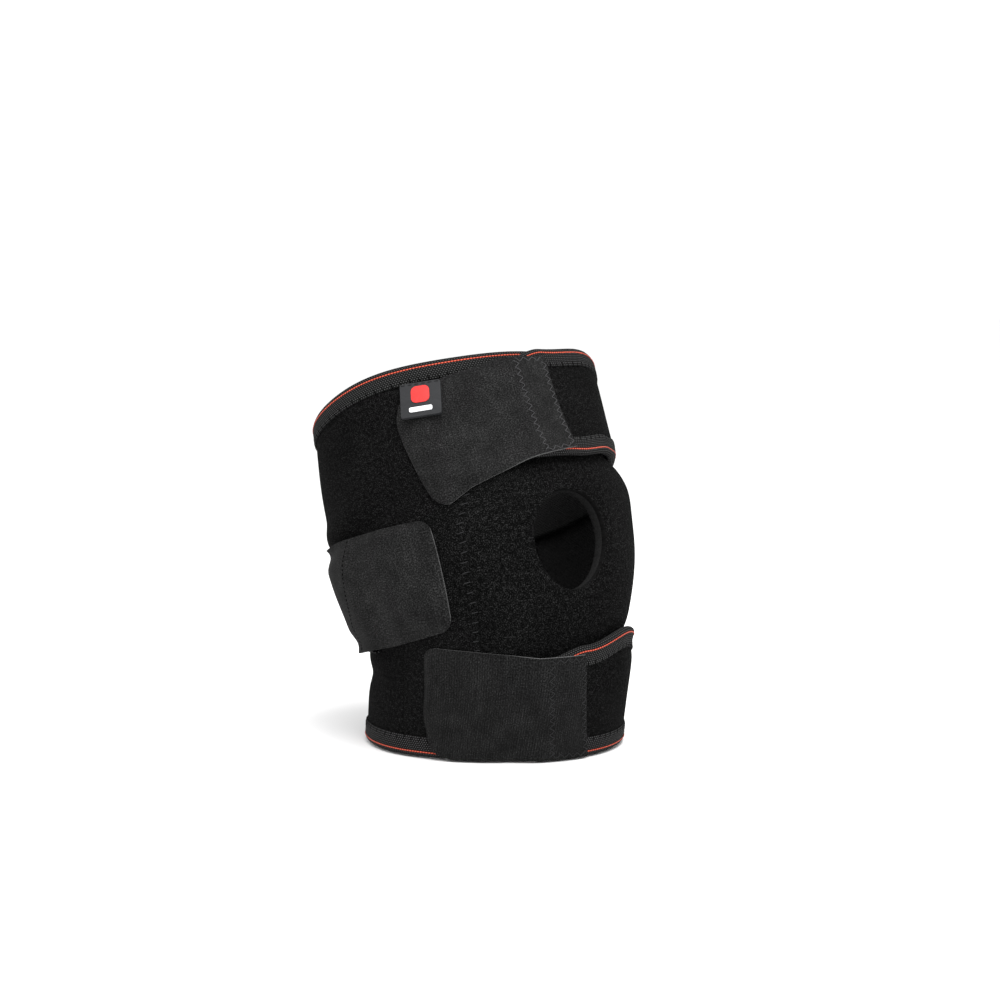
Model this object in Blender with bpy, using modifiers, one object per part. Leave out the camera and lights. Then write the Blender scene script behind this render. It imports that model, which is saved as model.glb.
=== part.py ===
"""Wrap-round knee brace: neoprene panels with an open kneecap, two stitched-in side
stays, and three straps that close on the front with hook-and-loop tabs.

Everything is laid out on the surface of a bent leg. A place on it is an angle round the
leg (0 at the kneecap, positive toward +X), a distance s along the leg from the lower
rim, and a height h out from the skin. Lengths are in millimetres and angles in degrees
until leg_point() turns them into metres. +Z is up, -Y is the front, and the lower rim
stands on z = 0.
"""

import math

import bmesh
import bpy
import numpy as np
from mathutils import Matrix, Vector

MM = 0.001

# Leg: centre line and half widths at five stations from the lower rim to the upper rim
LENGTH = 165.0
STATIONS = (0.0, 45.0, 82.0, 120.0, LENGTH)
HALF_LEFT = (52.5, 53.0, 61.5, 64.0, 59.5)
HALF_RIGHT = (52.6, 55.3, 65.3, 64.8, 66.3)
HALF_FRONT = (52.0, 64.0, 72.0, 63.0, 59.0)
HALF_BACK = (59.0, 55.0, 60.0, 62.0, 58.0)
THIGH_TILT = 25.0
BEND_START = 27.0
BEND_END = 111.0

# The upper rim climbs a little on the left side
RIM_RISE = 3.4
RISE_START = 120.0
RISE_ANGLE = -68.0
RISE_SPREAD = 35.0

# Where the middle of the whole brace, seen from above, lies from the calf's axis
MIDDLE_X = 1.33
MIDDLE_Y = 11.82

# Layers, from the skin outward
SHEET = 2.8
TAPE = 0.6
GAP = 0.4
EDGE_GAP = 0.9
BACK_GAP = 0.7
LAYER_CLEARANCE = 0.4
INNER_LAYER = TAPE + GAP
OUTER_LAYER = INNER_LAYER + SHEET + 2 * (TAPE + GAP) + LAYER_CLEARANCE
TAB_FACE = 1.2
HOOK_PAD = 1.0
HOOK_CLEARANCE = 0.5
HOOK_MARGIN = 3.0
TAB_CLEARANCE = 0.5
PEEL_GAP = 1.2
TAB_ON_STRAP = OUTER_LAYER + SHEET + TAB_CLEARANCE
TAB_ON_PANEL = INNER_LAYER + SHEET + HOOK_CLEARANCE + HOOK_PAD + GAP
BINDING_WIDTH = 8.0

# Sheets stop short of the rims by the thickness of the tape folded over them
RIM_INSET = TAPE + EDGE_GAP
LOWER_EDGE = RIM_INSET
UPPER_EDGE = LENGTH - RIM_INSET

# Panels: where each one starts and ends round the leg
FRONT_PANEL_SPAN = (-71.0, 60.0)
RIGHT_WING_END = 124.0
RIGHT_WING_CUT = 92.0
LEFT_WING_END = -244.0
NOTCH_START = -162.0
NOTCH_LOW = 40.0
NOTCH_HIGH = 109.5
PANEL_GAP = 0.3
BAND_LOW = 46.0
BAND_HIGH = 106.0
SHOULDER_END = 112.0
SHOULDER_LOW = 42.5
SHOULDER_HIGH = 112.5

# Kneecap opening and the foam ring behind its edge
OPENING_ANGLE = 2.4
OPENING_S = 80.6
OPENING_HALF_WIDTH = 20.4
OPENING_HALF_HEIGHT = 23.6
OPENING_LEAN = -24.0
RING_GROWTH = 5.7
RING_HALF_WIDTH = 5.5
RING_HALF_HEIGHT = 2.4
RING_TOP = 0.0

# Straps: both ends round the leg
STRAP_ROOT = 114.0
BAND_ROOT = -233.0
UPPER_STRAP_END = -6.0
LOWER_STRAP_END = -13.0
MIDDLE_STRAP_END = -97.0
RAMP = 16.0

# Side stays, in pockets on the skin side of the panels
STAY_ANGLE = 57.0
STAY_SPAN = (24.0, 140.0)
STAY_WIDTH = 6.0
STAY_THICKNESS = 1.2
STAY_HEIGHT = -0.6
CAP_LENGTH = 7.0
CAP_WIDTH_RATIO = 1.15
CAP_EXTRA_THICKNESS = 0.3
POCKET_MARGIN = 12.0
POCKET_FOOT = 5.0
POCKET_SHOULDER = 1.2
POCKET_DEPTH = 2.0
POCKET_HEIGHT = 0.2

# Label that hangs from the upper binding; the dot and bar are placed by shares of its
# drop, and the upper tab's flap is cut away under it past a share of the flap's height
LABEL_ANGLE = -40.9
LABEL_S = 155.6
LABEL_WIDTH = 19.0
LABEL_DROP = 17.8
LABEL_THICKNESS = 1.7
LABEL_LEAN = 9.0
BADGE_RADIUS = 4.3
BAR_LENGTH = 10.5
BAR_HEIGHT = 2.4
PRINT_THICKNESS = 0.4
DOT_PLACE = 0.37
BAR_PLACE = 0.82
LABEL_CUT_WIDTH = 11.0
LABEL_CUT_ROW = 0.74

# Facet sizes
ANGLE_STEP = 6.0
ROW_STEP = 9.0
MEAN_RADIUS = 65.0


# ---------------------------------------------------------------- leg surface

def smoothstep(x):
    x = np.clip(x, 0.0, 1.0)
    return x * x * (3.0 - 2.0 * x)


def centre_line():
    """Tilt and centre of the leg's sections, sampled along its length."""
    s = np.linspace(0.0, LENGTH, 331)
    tilt = np.radians(THIGH_TILT) * smoothstep((s - BEND_START) / (BEND_END - BEND_START))
    step = s[1] - s[0]
    middle = 0.5 * (tilt[1:] + tilt[:-1])
    y = np.concatenate(([0.0], np.cumsum(np.sin(middle) * step)))
    z = np.concatenate(([0.0], np.cumsum(np.cos(middle) * step)))
    return s, tilt, y, z


LINE_S, LINE_TILT, LINE_Y, LINE_Z = centre_line()


def half_size(values, s):
    """A smooth curve through the stations, as cubic pieces with matching slopes."""
    knots = np.array(STATIONS)
    heights = np.array(values)
    slopes = np.gradient(heights, knots)
    i = int(np.clip(np.searchsorted(knots, s) - 1, 0, len(knots) - 2))
    span = knots[i + 1] - knots[i]
    t = (s - knots[i]) / span
    start = heights[i] * (1 + 2 * t) * (1 - t) ** 2 + slopes[i] * span * t * (1 - t) ** 2
    end = heights[i + 1] * t * t * (3 - 2 * t) + slopes[i + 1] * span * t * t * (t - 1)
    return start + end


def rim_rise(angle, s):
    return RIM_RISE * math.exp(-((angle - RISE_ANGLE) / RISE_SPREAD) ** 2) * float(
        smoothstep((s - RISE_START) / (LENGTH - RISE_START)))


def leg_point(angle, s, h):
    """The world place, in metres, of an angle, a distance s and a height h."""
    s += rim_rise(angle, s)
    inside = min(max(s, 0.0), LENGTH)
    tilt = float(np.interp(inside, LINE_S, LINE_TILT))
    y = float(np.interp(inside, LINE_S, LINE_Y)) + (s - inside) * math.sin(tilt)
    z = float(np.interp(inside, LINE_S, LINE_Z)) + (s - inside) * math.cos(tilt)
    turn = math.radians(angle)
    depths = HALF_FRONT if math.cos(turn) > 0 else HALF_BACK
    widths = HALF_RIGHT if math.sin(turn) > 0 else HALF_LEFT
    x = (half_size(widths, inside) + h) * math.sin(turn) - MIDDLE_X
    forward = (half_size(depths, inside) + h) * math.cos(turn)
    y -= forward * math.cos(tilt) + MIDDLE_Y
    z += forward * math.sin(tilt)
    return Vector((x, y, z)) * MM


def leg_frame(angle, s, h):
    """A matrix at a place on the leg: Y outward, Z up the leg, X along the skin."""
    place = leg_point(angle, s, h)
    up = (leg_point(angle, s + 1.0, h) - leg_point(angle, s - 1.0, h)).normalized()
    round_leg = leg_point(angle + 1.0, s, h) - leg_point(angle - 1.0, s, h)
    out = round_leg.cross(up).normalized()
    axes = Matrix((out.cross(up), out, up)).transposed()
    return Matrix.Translation(place) @ axes.to_4x4()


def degrees_for(length):
    """The angle that a length takes up round the leg."""
    return math.degrees(length / MEAN_RADIUS)


def stretch(angle, s):
    """How much longer the skin is than s: over 1 in front of the bend, under 1 behind."""
    step = leg_point(angle, s + 1.0, INNER_LAYER) - leg_point(angle, s - 1.0, INNER_LAYER)
    return step.length / (2.0 * MM)


# ---------------------------------------------------------------- scene helpers

def clear_scene():
    for obj in list(bpy.data.objects):
        bpy.data.objects.remove(obj)


def new_collection(name):
    collection = bpy.data.collections.new(name)
    bpy.context.scene.collection.children.link(collection)
    return collection


def material(name, colour, roughness, metallic=0.0):
    mat = bpy.data.materials.new(name)
    mat.use_nodes = True
    shader = mat.node_tree.nodes["Principled BSDF"]
    shader.inputs["Base Color"].default_value = (*colour, 1.0)
    shader.inputs["Roughness"].default_value = roughness
    shader.inputs["Metallic"].default_value = metallic
    return mat


def add_object(name, bm, mat, collection):
    """An object from a bmesh, shaded smooth except at its real edges."""
    mesh = bpy.data.meshes.new(name)
    bm.to_mesh(mesh)
    bm.free()
    mesh.materials.append(mat)
    mesh.shade_smooth()
    mesh.set_sharp_from_angle(angle=math.radians(40.0))
    obj = bpy.data.objects.new(name, mesh)
    collection.objects.link(obj)
    return obj


def thicken(obj, thickness):
    solid = obj.modifiers.new("Thickness", "SOLIDIFY")
    solid.thickness = thickness * MM
    solid.offset = 0.0
    solid.use_even_offset = True
    return obj


def move_origin(obj, place):
    """Puts an object's origin at a place and leaves its shape where it is."""
    obj.data.transform(Matrix.Translation(-place))
    obj.location = place


# ---------------------------------------------------------------- bent sheets

def steps_between(start, end, step):
    count = max(1, round(abs(end - start) / step))
    return list(np.linspace(start, end, count + 1))


def joined_steps(stops, step):
    """Evenly spaced values that pass through every stop."""
    values = [stops[0]]
    for start, end in zip(stops, stops[1:]):
        values += steps_between(start, end, step)[1:]
    return values


def cell_middle(face, angles, rows):
    """The angle and the row value at the middle of a flat grid's cell."""
    centre = face.calc_center_median()
    i = int((centre.x + 0.5) * (len(angles) - 1))
    j = int((centre.y + 0.5) * (len(rows) - 1))
    return (angles[i] + angles[i + 1]) / 2, (rows[j] + rows[j + 1]) / 2


def bent_grid(angles, rows, place, keep=None):
    """An open grid whose vertex (i, j) goes to place(angles[i], rows[j])."""
    bm = bmesh.new()
    bmesh.ops.create_grid(bm, x_segments=len(angles) - 1, y_segments=len(rows) - 1, size=0.5)
    if keep:
        doomed = [face for face in bm.faces if not keep(*cell_middle(face, angles, rows))]
        bmesh.ops.delete(bm, geom=doomed, context="FACES")
    for vert in bm.verts:
        i = round((vert.co.x + 0.5) * (len(angles) - 1))
        j = round((vert.co.y + 0.5) * (len(rows) - 1))
        vert.co = place(angles[i], rows[j])
    return bm


def band(name, angles, low, high, height, mat, collection, thickness=SHEET, keep=None):
    """A sheet between two edges; low, high and height are functions of the angle."""
    widest = max(high(a) - low(a) for a in angles)
    rows = steps_between(0.0, 1.0, ROW_STEP / widest)

    def place(angle, row):
        s = low(angle) + (high(angle) - low(angle)) * row
        return leg_point(angle, s, height(angle) + thickness / 2)

    bm = bent_grid(angles, rows, place, keep)
    return thicken(add_object(name, bm, mat, collection), thickness)


def panel(name, angles, rows, mat, collection, keep=None):
    """A sheet on the inner layer, with the grid cells that keep() refuses left out."""

    def place(angle, s):
        return leg_point(angle, s, INNER_LAYER + SHEET / 2)

    return thicken(add_object(name, bent_grid(angles, rows, place, keep), mat, collection), SHEET)


def binding(name, angles, edge, side, height, mat, collection, gap=GAP):
    """Tape folded over a sheet's edge; side is +1 where the sheet lies above the edge."""
    inner = -gap - TAPE / 2
    outer = SHEET + gap + TAPE / 2
    back = -EDGE_GAP - TAPE / 2
    fold = ((BINDING_WIDTH, inner), (back, inner), (back, outer), (BINDING_WIDTH, outer))

    def place(angle, corner):
        inward, lift = corner
        s = edge(angle)
        return leg_point(angle, s + side * inward / stretch(angle, s), height(angle) + lift)

    return thicken(add_object(name, bent_grid(angles, fold, place), mat, collection), TAPE)


def flat(value):
    return lambda angle: value


def curve_through(*points):
    """A smooth function of the angle through (angle, value) points, lowest angle first."""

    def value(angle):
        result = points[0][1]
        for (start, before), (end, after) in zip(points, points[1:]):
            if angle > start:
                result = before + (after - before) * float(smoothstep((angle - start) / (end - start)))
        return result

    return value


def sloped(start, before, end, after):
    """A straight line through (start, before) and (end, after)."""
    return lambda angle: before + (after - before) * (angle - start) / (end - start)


# ---------------------------------------------------------------- strap outlines

UPPER_STRAP_LOW = curve_through((-8.0, 110.5), (14.0, 111.0), (38.0, 115.5), (62.0, 119.5), (98.0, 116.5))
UPPER_STRAP_HIGH = curve_through((-8.0, 156.6), (10.0, 162.6), (42.0, 167.0), (98.0, UPPER_EDGE))
LOWER_STRAP_LOW = flat(LOWER_EDGE)
LOWER_STRAP_HIGH = curve_through((-15.0, 43.6), (4.0, 47.2), (32.0, 51.3), (55.0, 48.5), (100.0, 38.0))
FRONT_STRAP_HEIGHT = curve_through((STRAP_ROOT - RAMP, OUTER_LAYER), (STRAP_ROOT, INNER_LAYER))
MIDDLE_STRAP_LOW = curve_through((-200.0, 44.5), (-110.0, 46.5))
MIDDLE_STRAP_HIGH = curve_through((-200.0, 105.5), (-110.0, 100.0))
MIDDLE_STRAP_HEIGHT = curve_through((NOTCH_START - 2.0 - RAMP, INNER_LAYER),
                                    (NOTCH_START - 2.0, OUTER_LAYER))


# ---------------------------------------------------------------- panels

def opening_cutter(collection):
    """A leaning oval plug square to the skin at the kneecap, for the opening."""
    bm = bmesh.new()
    bmesh.ops.create_cone(bm, cap_ends=True, segments=40, radius1=OPENING_HALF_WIDTH * MM,
                          radius2=OPENING_HALF_WIDTH * MM, depth=30.0 * MM)
    oval = Matrix.Diagonal((1.0, OPENING_HALF_HEIGHT / OPENING_HALF_WIDTH, 1.0, 1.0))
    lean = Matrix.Rotation(math.radians(OPENING_LEAN), 4, "Z")
    lay_down = Matrix.Rotation(math.radians(90.0), 4, "X")
    bm.transform(leg_frame(OPENING_ANGLE, OPENING_S, INNER_LAYER) @ lay_down @ lean @ oval)
    cutter = add_object("opening_cutter", bm, MATERIALS["foam"], collection)
    cutter.hide_render = True
    cutter.display_type = "WIRE"
    return cutter


def front_panel(parts, cutters):
    rows = steps_between(LOWER_EDGE, UPPER_EDGE, ROW_STEP)
    angles = steps_between(*FRONT_PANEL_SPAN, ANGLE_STEP)
    obj = panel("front_panel", angles, rows, MATERIALS["loop"], parts)
    cut = obj.modifiers.new("Kneecap opening", "BOOLEAN")
    cut.object = opening_cutter(cutters)


def left_wing(parts):
    """Runs round the left side to the back, where a notch lets the middle strap through."""
    start = FRONT_PANEL_SPAN[0] - degrees_for(PANEL_GAP)
    angles = joined_steps((LEFT_WING_END, NOTCH_START, start), ANGLE_STEP)
    rows = joined_steps((LOWER_EDGE, NOTCH_LOW, NOTCH_HIGH, UPPER_EDGE), ROW_STEP)

    def keep(angle, s):
        return angle > NOTCH_START or not NOTCH_LOW < s < NOTCH_HIGH

    panel("left_wing", angles, rows, MATERIALS["loop"], parts, keep)


def right_wing(parts):
    """Runs under the two front straps, fills the space between them, and narrows to the
    root of the middle strap."""
    start = FRONT_PANEL_SPAN[1] + degrees_for(PANEL_GAP)
    angles = joined_steps((start, RIGHT_WING_CUT, SHOULDER_END, RIGHT_WING_END), ANGLE_STEP)
    stops = (LOWER_EDGE, SHOULDER_LOW, BAND_LOW, BAND_HIGH, SHOULDER_HIGH, UPPER_EDGE)
    rows = joined_steps(stops, ROW_STEP)

    def keep(angle, s):
        if angle > SHOULDER_END:
            return BAND_LOW < s < BAND_HIGH
        return angle < RIGHT_WING_CUT or SHOULDER_LOW < s < SHOULDER_HIGH

    panel("right_wing", angles, rows, MATERIALS["loop"], parts, keep)


def beyond_opening(turn, growth):
    """Across and up from the opening's middle to a place outside its oval edge."""
    across = (OPENING_HALF_WIDTH + growth) * math.cos(turn)
    up = (OPENING_HALF_HEIGHT + growth) * math.sin(turn)
    lean = math.radians(OPENING_LEAN)
    return (across * math.cos(lean) - up * math.sin(lean),
            across * math.sin(lean) + up * math.cos(lean))


def kneecap_ring(parts):
    """A foam ring behind the edge of the opening, bent to the leg."""
    bm = bmesh.new()
    bpy.ops.mesh.primitive_torus_add(major_segments=36, minor_segments=8,
                                     major_radius=OPENING_HALF_WIDTH, minor_radius=1.0)
    torus = bpy.context.object
    bm.from_mesh(torus.data)
    bpy.data.objects.remove(torus)
    front = stretch(OPENING_ANGLE, OPENING_S)
    for vert in bm.verts:
        turn = math.atan2(vert.co.y, vert.co.x)
        outward = math.hypot(vert.co.x, vert.co.y) - OPENING_HALF_WIDTH
        across, up = beyond_opening(turn, RING_GROWTH + outward * RING_HALF_WIDTH)
        angle = OPENING_ANGLE + math.degrees(across / HALF_FRONT[2])
        height = RING_TOP + (vert.co.z - 1.0) * RING_HALF_HEIGHT
        vert.co = leg_point(angle, OPENING_S + up / front, height)
    add_object("kneecap_ring", bm, MATERIALS["foam"], parts)


# ---------------------------------------------------------------- side stays

def side_stay(side, parts):
    """A flat stay, its two end caps and the pocket tape that holds them."""
    name = "left" if side < 0 else "right"
    angle = side * STAY_ANGLE
    low, high = STAY_SPAN
    half = degrees_for(STAY_WIDTH / 2)
    strip(f"side_stay_{name}", angle, half, (low, high), STAY_THICKNESS, MATERIALS["steel"], parts)
    for end, start in (("lower", low - CAP_LENGTH - GAP), ("upper", high + GAP)):
        strip(f"stay_cap_{name}_{end}", angle, half * CAP_WIDTH_RATIO, (start, start + CAP_LENGTH),
              STAY_THICKNESS + CAP_EXTRA_THICKNESS, MATERIALS["plastic"], parts)
    stay_pocket(f"stay_pocket_{name}", angle, parts)


def strip(name, angle, half, span, thickness, mat, parts):
    """A flat bar that lies along the leg on the skin side of the panel."""
    rows = steps_between(*span, ROW_STEP)

    def place(across, s):
        return leg_point(across, s, STAY_HEIGHT)

    bm = bent_grid((angle - half, angle + half), rows, place)
    thicken(add_object(name, bm, mat, parts), thickness)


def stay_pocket(name, angle, parts):
    """A strip of tape that arches over a stay, its side edges against the panel."""
    low = STAY_SPAN[0] - POCKET_MARGIN
    high = STAY_SPAN[1] + POCKET_MARGIN
    foot = degrees_for(STAY_WIDTH / 2 + POCKET_FOOT)
    shoulder = degrees_for(STAY_WIDTH / 2 + POCKET_SHOULDER)
    arch = ((-foot, 0.0), (-shoulder, -POCKET_DEPTH), (shoulder, -POCKET_DEPTH), (foot, 0.0))

    def place(corner, s):
        across, height = corner
        return leg_point(angle + across, s, height + POCKET_HEIGHT)

    bm = bent_grid(arch, steps_between(low, high, ROW_STEP), place)
    thicken(add_object(name, bm, MATERIALS["lining"], parts), TAPE)


# ---------------------------------------------------------------- straps

def bound_strap(name, angles, low, high, height, parts, gap=GAP):
    """A strap with a folded tape along each long edge."""
    tape = MATERIALS["tape"]
    band(f"{name}_strap", angles, low, high, height, MATERIALS["loop"], parts)
    binding(f"{name}_strap_binding_top", angles, high, -1, height, tape, parts, gap)
    binding(f"{name}_strap_binding_bottom", angles, low, 1, height, tape, parts, gap)


def straps(parts):
    upper = steps_between(UPPER_STRAP_END, STRAP_ROOT, ANGLE_STEP)
    lower = steps_between(LOWER_STRAP_END, STRAP_ROOT, ANGLE_STEP)
    middle = steps_between(BAND_ROOT, MIDDLE_STRAP_END, ANGLE_STEP)
    bound_strap("upper", upper, UPPER_STRAP_LOW, UPPER_STRAP_HIGH, FRONT_STRAP_HEIGHT, parts)
    bound_strap("lower", lower, LOWER_STRAP_LOW, LOWER_STRAP_HIGH, FRONT_STRAP_HEIGHT, parts)
    bound_strap("middle", middle, MIDDLE_STRAP_LOW, MIDDLE_STRAP_HIGH, MIDDLE_STRAP_HEIGHT,
                parts, BACK_GAP)


def corner_inset(distance, radius):
    """How far a rounded corner pulls an edge in, at a distance from the free end."""
    if distance >= radius:
        return 0.0
    return radius - math.sqrt(radius * radius - (radius - distance) ** 2)


def tab_angles(start, tip, radius):
    """Angles along a tab, closer together where its free corners are rounded."""
    way = math.copysign(1.0, tip - start)
    bend = tip - way * degrees_for(radius)
    angles = steps_between(start, bend, ANGLE_STEP)
    arc_count = 4
    for k in range(1, arc_count + 1):
        share = math.sin(math.radians(90.0 * k / arc_count))
        angles.append(bend + way * degrees_for(radius * share))
    return angles


def between_bindings(low, high):
    """The edges of the strip that a strap's two bindings leave bare."""
    inset = BINDING_WIDTH + 2 * GAP
    return (lambda angle: low(angle) + inset / stretch(angle, low(angle)),
            lambda angle: high(angle) - inset / stretch(angle, high(angle)))


def tab(name, seam, fold, tip, low, high, radius, parts, keep=None):
    """The stiff end of a strap: a piece sewn over the strap, the flap past the strap's
    end that peels off, and the hook pad under the flap.

    seam, fold and tip are angles, from the strap to the free end; low and high are the
    flap's edges.
    """
    way = math.copysign(1.0, tip - fold)
    half_gap = way * degrees_for(PEEL_GAP) / 2

    def height(angle):
        ramp = float(smoothstep(way * (angle - fold) / RAMP))
        return TAB_ON_STRAP + (TAB_ON_PANEL - TAB_ON_STRAP) * ramp

    def rounded(edge, sign):
        def value(angle):
            distance = MEAN_RADIUS * math.radians(abs(tip - angle))
            return edge(angle) + sign * corner_inset(distance, radius)
        return value

    def hook_low(angle):
        return max(low(angle), BINDING_WIDTH) + HOOK_MARGIN

    base = steps_between(seam, fold - half_gap, ANGLE_STEP)
    base_low, base_high = between_bindings(*STRAP_EDGES[name])
    band(f"{name}_tab_base", base, base_low, base_high, flat(TAB_ON_STRAP), MATERIALS["suede"],
         parts, TAB_FACE)
    flap = tab_angles(fold + half_gap, tip, radius)
    band(f"{name}_tab_flap", flap, rounded(low, 1), rounded(high, -1), height,
         MATERIALS["suede"], parts, TAB_FACE, keep)
    hook = steps_between(fold + way * (RAMP + 2.0), tip - way * degrees_for(radius), ANGLE_STEP)
    band(f"{name}_hook_pad", hook, hook_low, lambda a: high(a) - HOOK_MARGIN,
         flat(TAB_ON_PANEL - GAP - HOOK_PAD), MATERIALS["hook"], parts, HOOK_PAD, keep)


STRAP_EDGES = {
    "upper": (UPPER_STRAP_LOW, UPPER_STRAP_HIGH),
    "middle": (MIDDLE_STRAP_LOW, MIDDLE_STRAP_HIGH),
    "lower": (LOWER_STRAP_LOW, LOWER_STRAP_HIGH),
}


def tabs(parts):
    def clear_of_label(angle, row):
        return angle > LABEL_ANGLE + LABEL_CUT_WIDTH or row < LABEL_CUT_ROW

    tab("upper", 12.0, UPPER_STRAP_END, -51.0, sloped(-45.0, 98.5, -1.0, 113.0),
        sloped(-45.0, 151.8, -1.0, 158.8), 5.0, parts, clear_of_label)
    tab("middle", -112.0, MIDDLE_STRAP_END, -52.5, sloped(-97.0, 45.8, -55.0, 54.5),
        sloped(-97.0, 100.2, -55.0, 92.5), 6.0, parts)
    tab("lower", 5.0, LOWER_STRAP_END, -66.8, flat(0.8), sloped(-60.0, 49.0, -13.0, 45.5),
        7.0, parts)


# ---------------------------------------------------------------- rims and label

def rim_bindings(parts):
    """The tapes over the upper and lower rims of the wings and the front panel."""
    angles = steps_between(LEFT_WING_END, RIGHT_WING_CUT, ANGLE_STEP)
    height = flat(INNER_LAYER)
    binding("upper_rim_binding", angles, flat(UPPER_EDGE), -1, height, MATERIALS["tape"], parts)
    binding("lower_rim_binding", angles, flat(LOWER_EDGE), 1, height, MATERIALS["tape"], parts)


def label(parts):
    """A rubber tag that hangs from the upper rim's binding, with a raised dot and bar."""
    hinge = leg_frame(LABEL_ANGLE, LABEL_S, INNER_LAYER + SHEET + 2 * GAP + TAPE)
    lean = Matrix.Rotation(math.radians(LABEL_LEAN), 4, "X")
    face = hinge @ lean
    bm = bmesh.new()
    bmesh.ops.create_cube(bm, size=1.0)
    size = Matrix.Diagonal((LABEL_WIDTH, LABEL_THICKNESS, LABEL_DROP, 1 / MM)) * MM
    middle = Matrix.Translation(Vector((0.0, LABEL_THICKNESS / 2, -LABEL_DROP / 2)) * MM)
    bm.transform(face @ middle @ size)
    tag = add_object("label_tag", bm, MATERIALS["rubber"], parts)
    rounding = tag.modifiers.new("Rounding", "BEVEL")
    rounding.width = 0.4 * MM
    rounding.segments = 1
    dot = Vector((0.0, LABEL_THICKNESS + GAP + PRINT_THICKNESS / 2, -DOT_PLACE * LABEL_DROP)) * MM
    bar = Vector((0.0, LABEL_THICKNESS + GAP + PRINT_THICKNESS / 2, -BAR_PLACE * LABEL_DROP)) * MM
    bm = bmesh.new()
    bmesh.ops.create_cone(bm, cap_ends=True, segments=24, radius1=BADGE_RADIUS * MM,
                          radius2=BADGE_RADIUS * MM, depth=PRINT_THICKNESS * MM)
    bm.transform(face @ Matrix.Translation(dot) @ Matrix.Rotation(math.radians(90.0), 4, "X"))
    add_object("label_dot", bm, MATERIALS["red"], parts)
    bm = bmesh.new()
    bmesh.ops.create_cube(bm, size=1.0)
    size = Matrix.Diagonal((BAR_LENGTH, PRINT_THICKNESS, BAR_HEIGHT, 1 / MM)) * MM
    bm.transform(face @ Matrix.Translation(bar) @ size)
    add_object("label_bar", bm, MATERIALS["white"], parts)


# ---------------------------------------------------------------- hinges

def set_hinges():
    """Puts each moving piece's origin on the axis it turns about."""
    on_tab = TAB_ON_STRAP + TAB_FACE
    on_panel = INNER_LAYER + SHEET
    hinges = {
        "upper_strap": (STRAP_ROOT, UPPER_STRAP_LOW, UPPER_STRAP_HIGH, on_panel),
        "lower_strap": (STRAP_ROOT, LOWER_STRAP_LOW, LOWER_STRAP_HIGH, on_panel),
        "middle_strap": (BAND_ROOT, MIDDLE_STRAP_LOW, MIDDLE_STRAP_HIGH, on_panel),
        "upper_tab_flap": (UPPER_STRAP_END, UPPER_STRAP_LOW, UPPER_STRAP_HIGH, on_tab),
        "lower_tab_flap": (LOWER_STRAP_END, LOWER_STRAP_LOW, LOWER_STRAP_HIGH, on_tab),
        "middle_tab_flap": (MIDDLE_STRAP_END, MIDDLE_STRAP_LOW, MIDDLE_STRAP_HIGH, on_tab),
        "label_tag": (LABEL_ANGLE, flat(LABEL_S), flat(LABEL_S), on_panel + 2 * GAP + TAPE),
    }
    for name, (angle, low, high, height) in hinges.items():
        middle = (low(angle) + high(angle)) / 2
        move_origin(bpy.data.objects[name], leg_point(angle, middle, height))


def make_materials():
    return {
        "loop": material("loop fabric", (0.012, 0.012, 0.013), 0.95),
        "tape": material("knitted tape", (0.02, 0.02, 0.021), 0.9),
        "suede": material("suede tab", (0.035, 0.035, 0.037), 0.85),
        "hook": material("hook pad", (0.02, 0.02, 0.02), 0.6),
        "lining": material("lining", (0.03, 0.03, 0.032), 0.9),
        "foam": material("foam", (0.05, 0.05, 0.052), 0.9),
        "steel": material("stay steel", (0.6, 0.6, 0.62), 0.3, 1.0),
        "plastic": material("cap plastic", (0.02, 0.02, 0.02), 0.4),
        "rubber": material("label rubber", (0.07, 0.07, 0.075), 0.6),
        "red": material("label dot", (0.75, 0.09, 0.05), 0.5),
        "white": material("label bar", (0.8, 0.8, 0.8), 0.5),
    }


clear_scene()
MATERIALS = make_materials()
parts_collection = new_collection("knee_brace")
cutter_collection = new_collection("cutters")
front_panel(parts_collection, cutter_collection)
left_wing(parts_collection)
right_wing(parts_collection)
kneecap_ring(parts_collection)
for stay_side in (-1, 1):
    side_stay(stay_side, parts_collection)
straps(parts_collection)
tabs(parts_collection)
rim_bindings(parts_collection)
label(parts_collection)
set_hinges()
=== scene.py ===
"""The looks of the wrap-round knee brace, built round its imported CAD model.

Every piece is laid out on the surface of a bent leg, as the CAD is. A place on it is an
angle round the leg (0 at the kneecap, positive toward +X), a distance s along the leg
from the lower rim, and a height h out from the skin, in degrees and millimetres. skin()
turns them into metres in the frame's own axes.
"""

import math

import bpy
import numpy as np
from mathutils import Matrix, Vector


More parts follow.
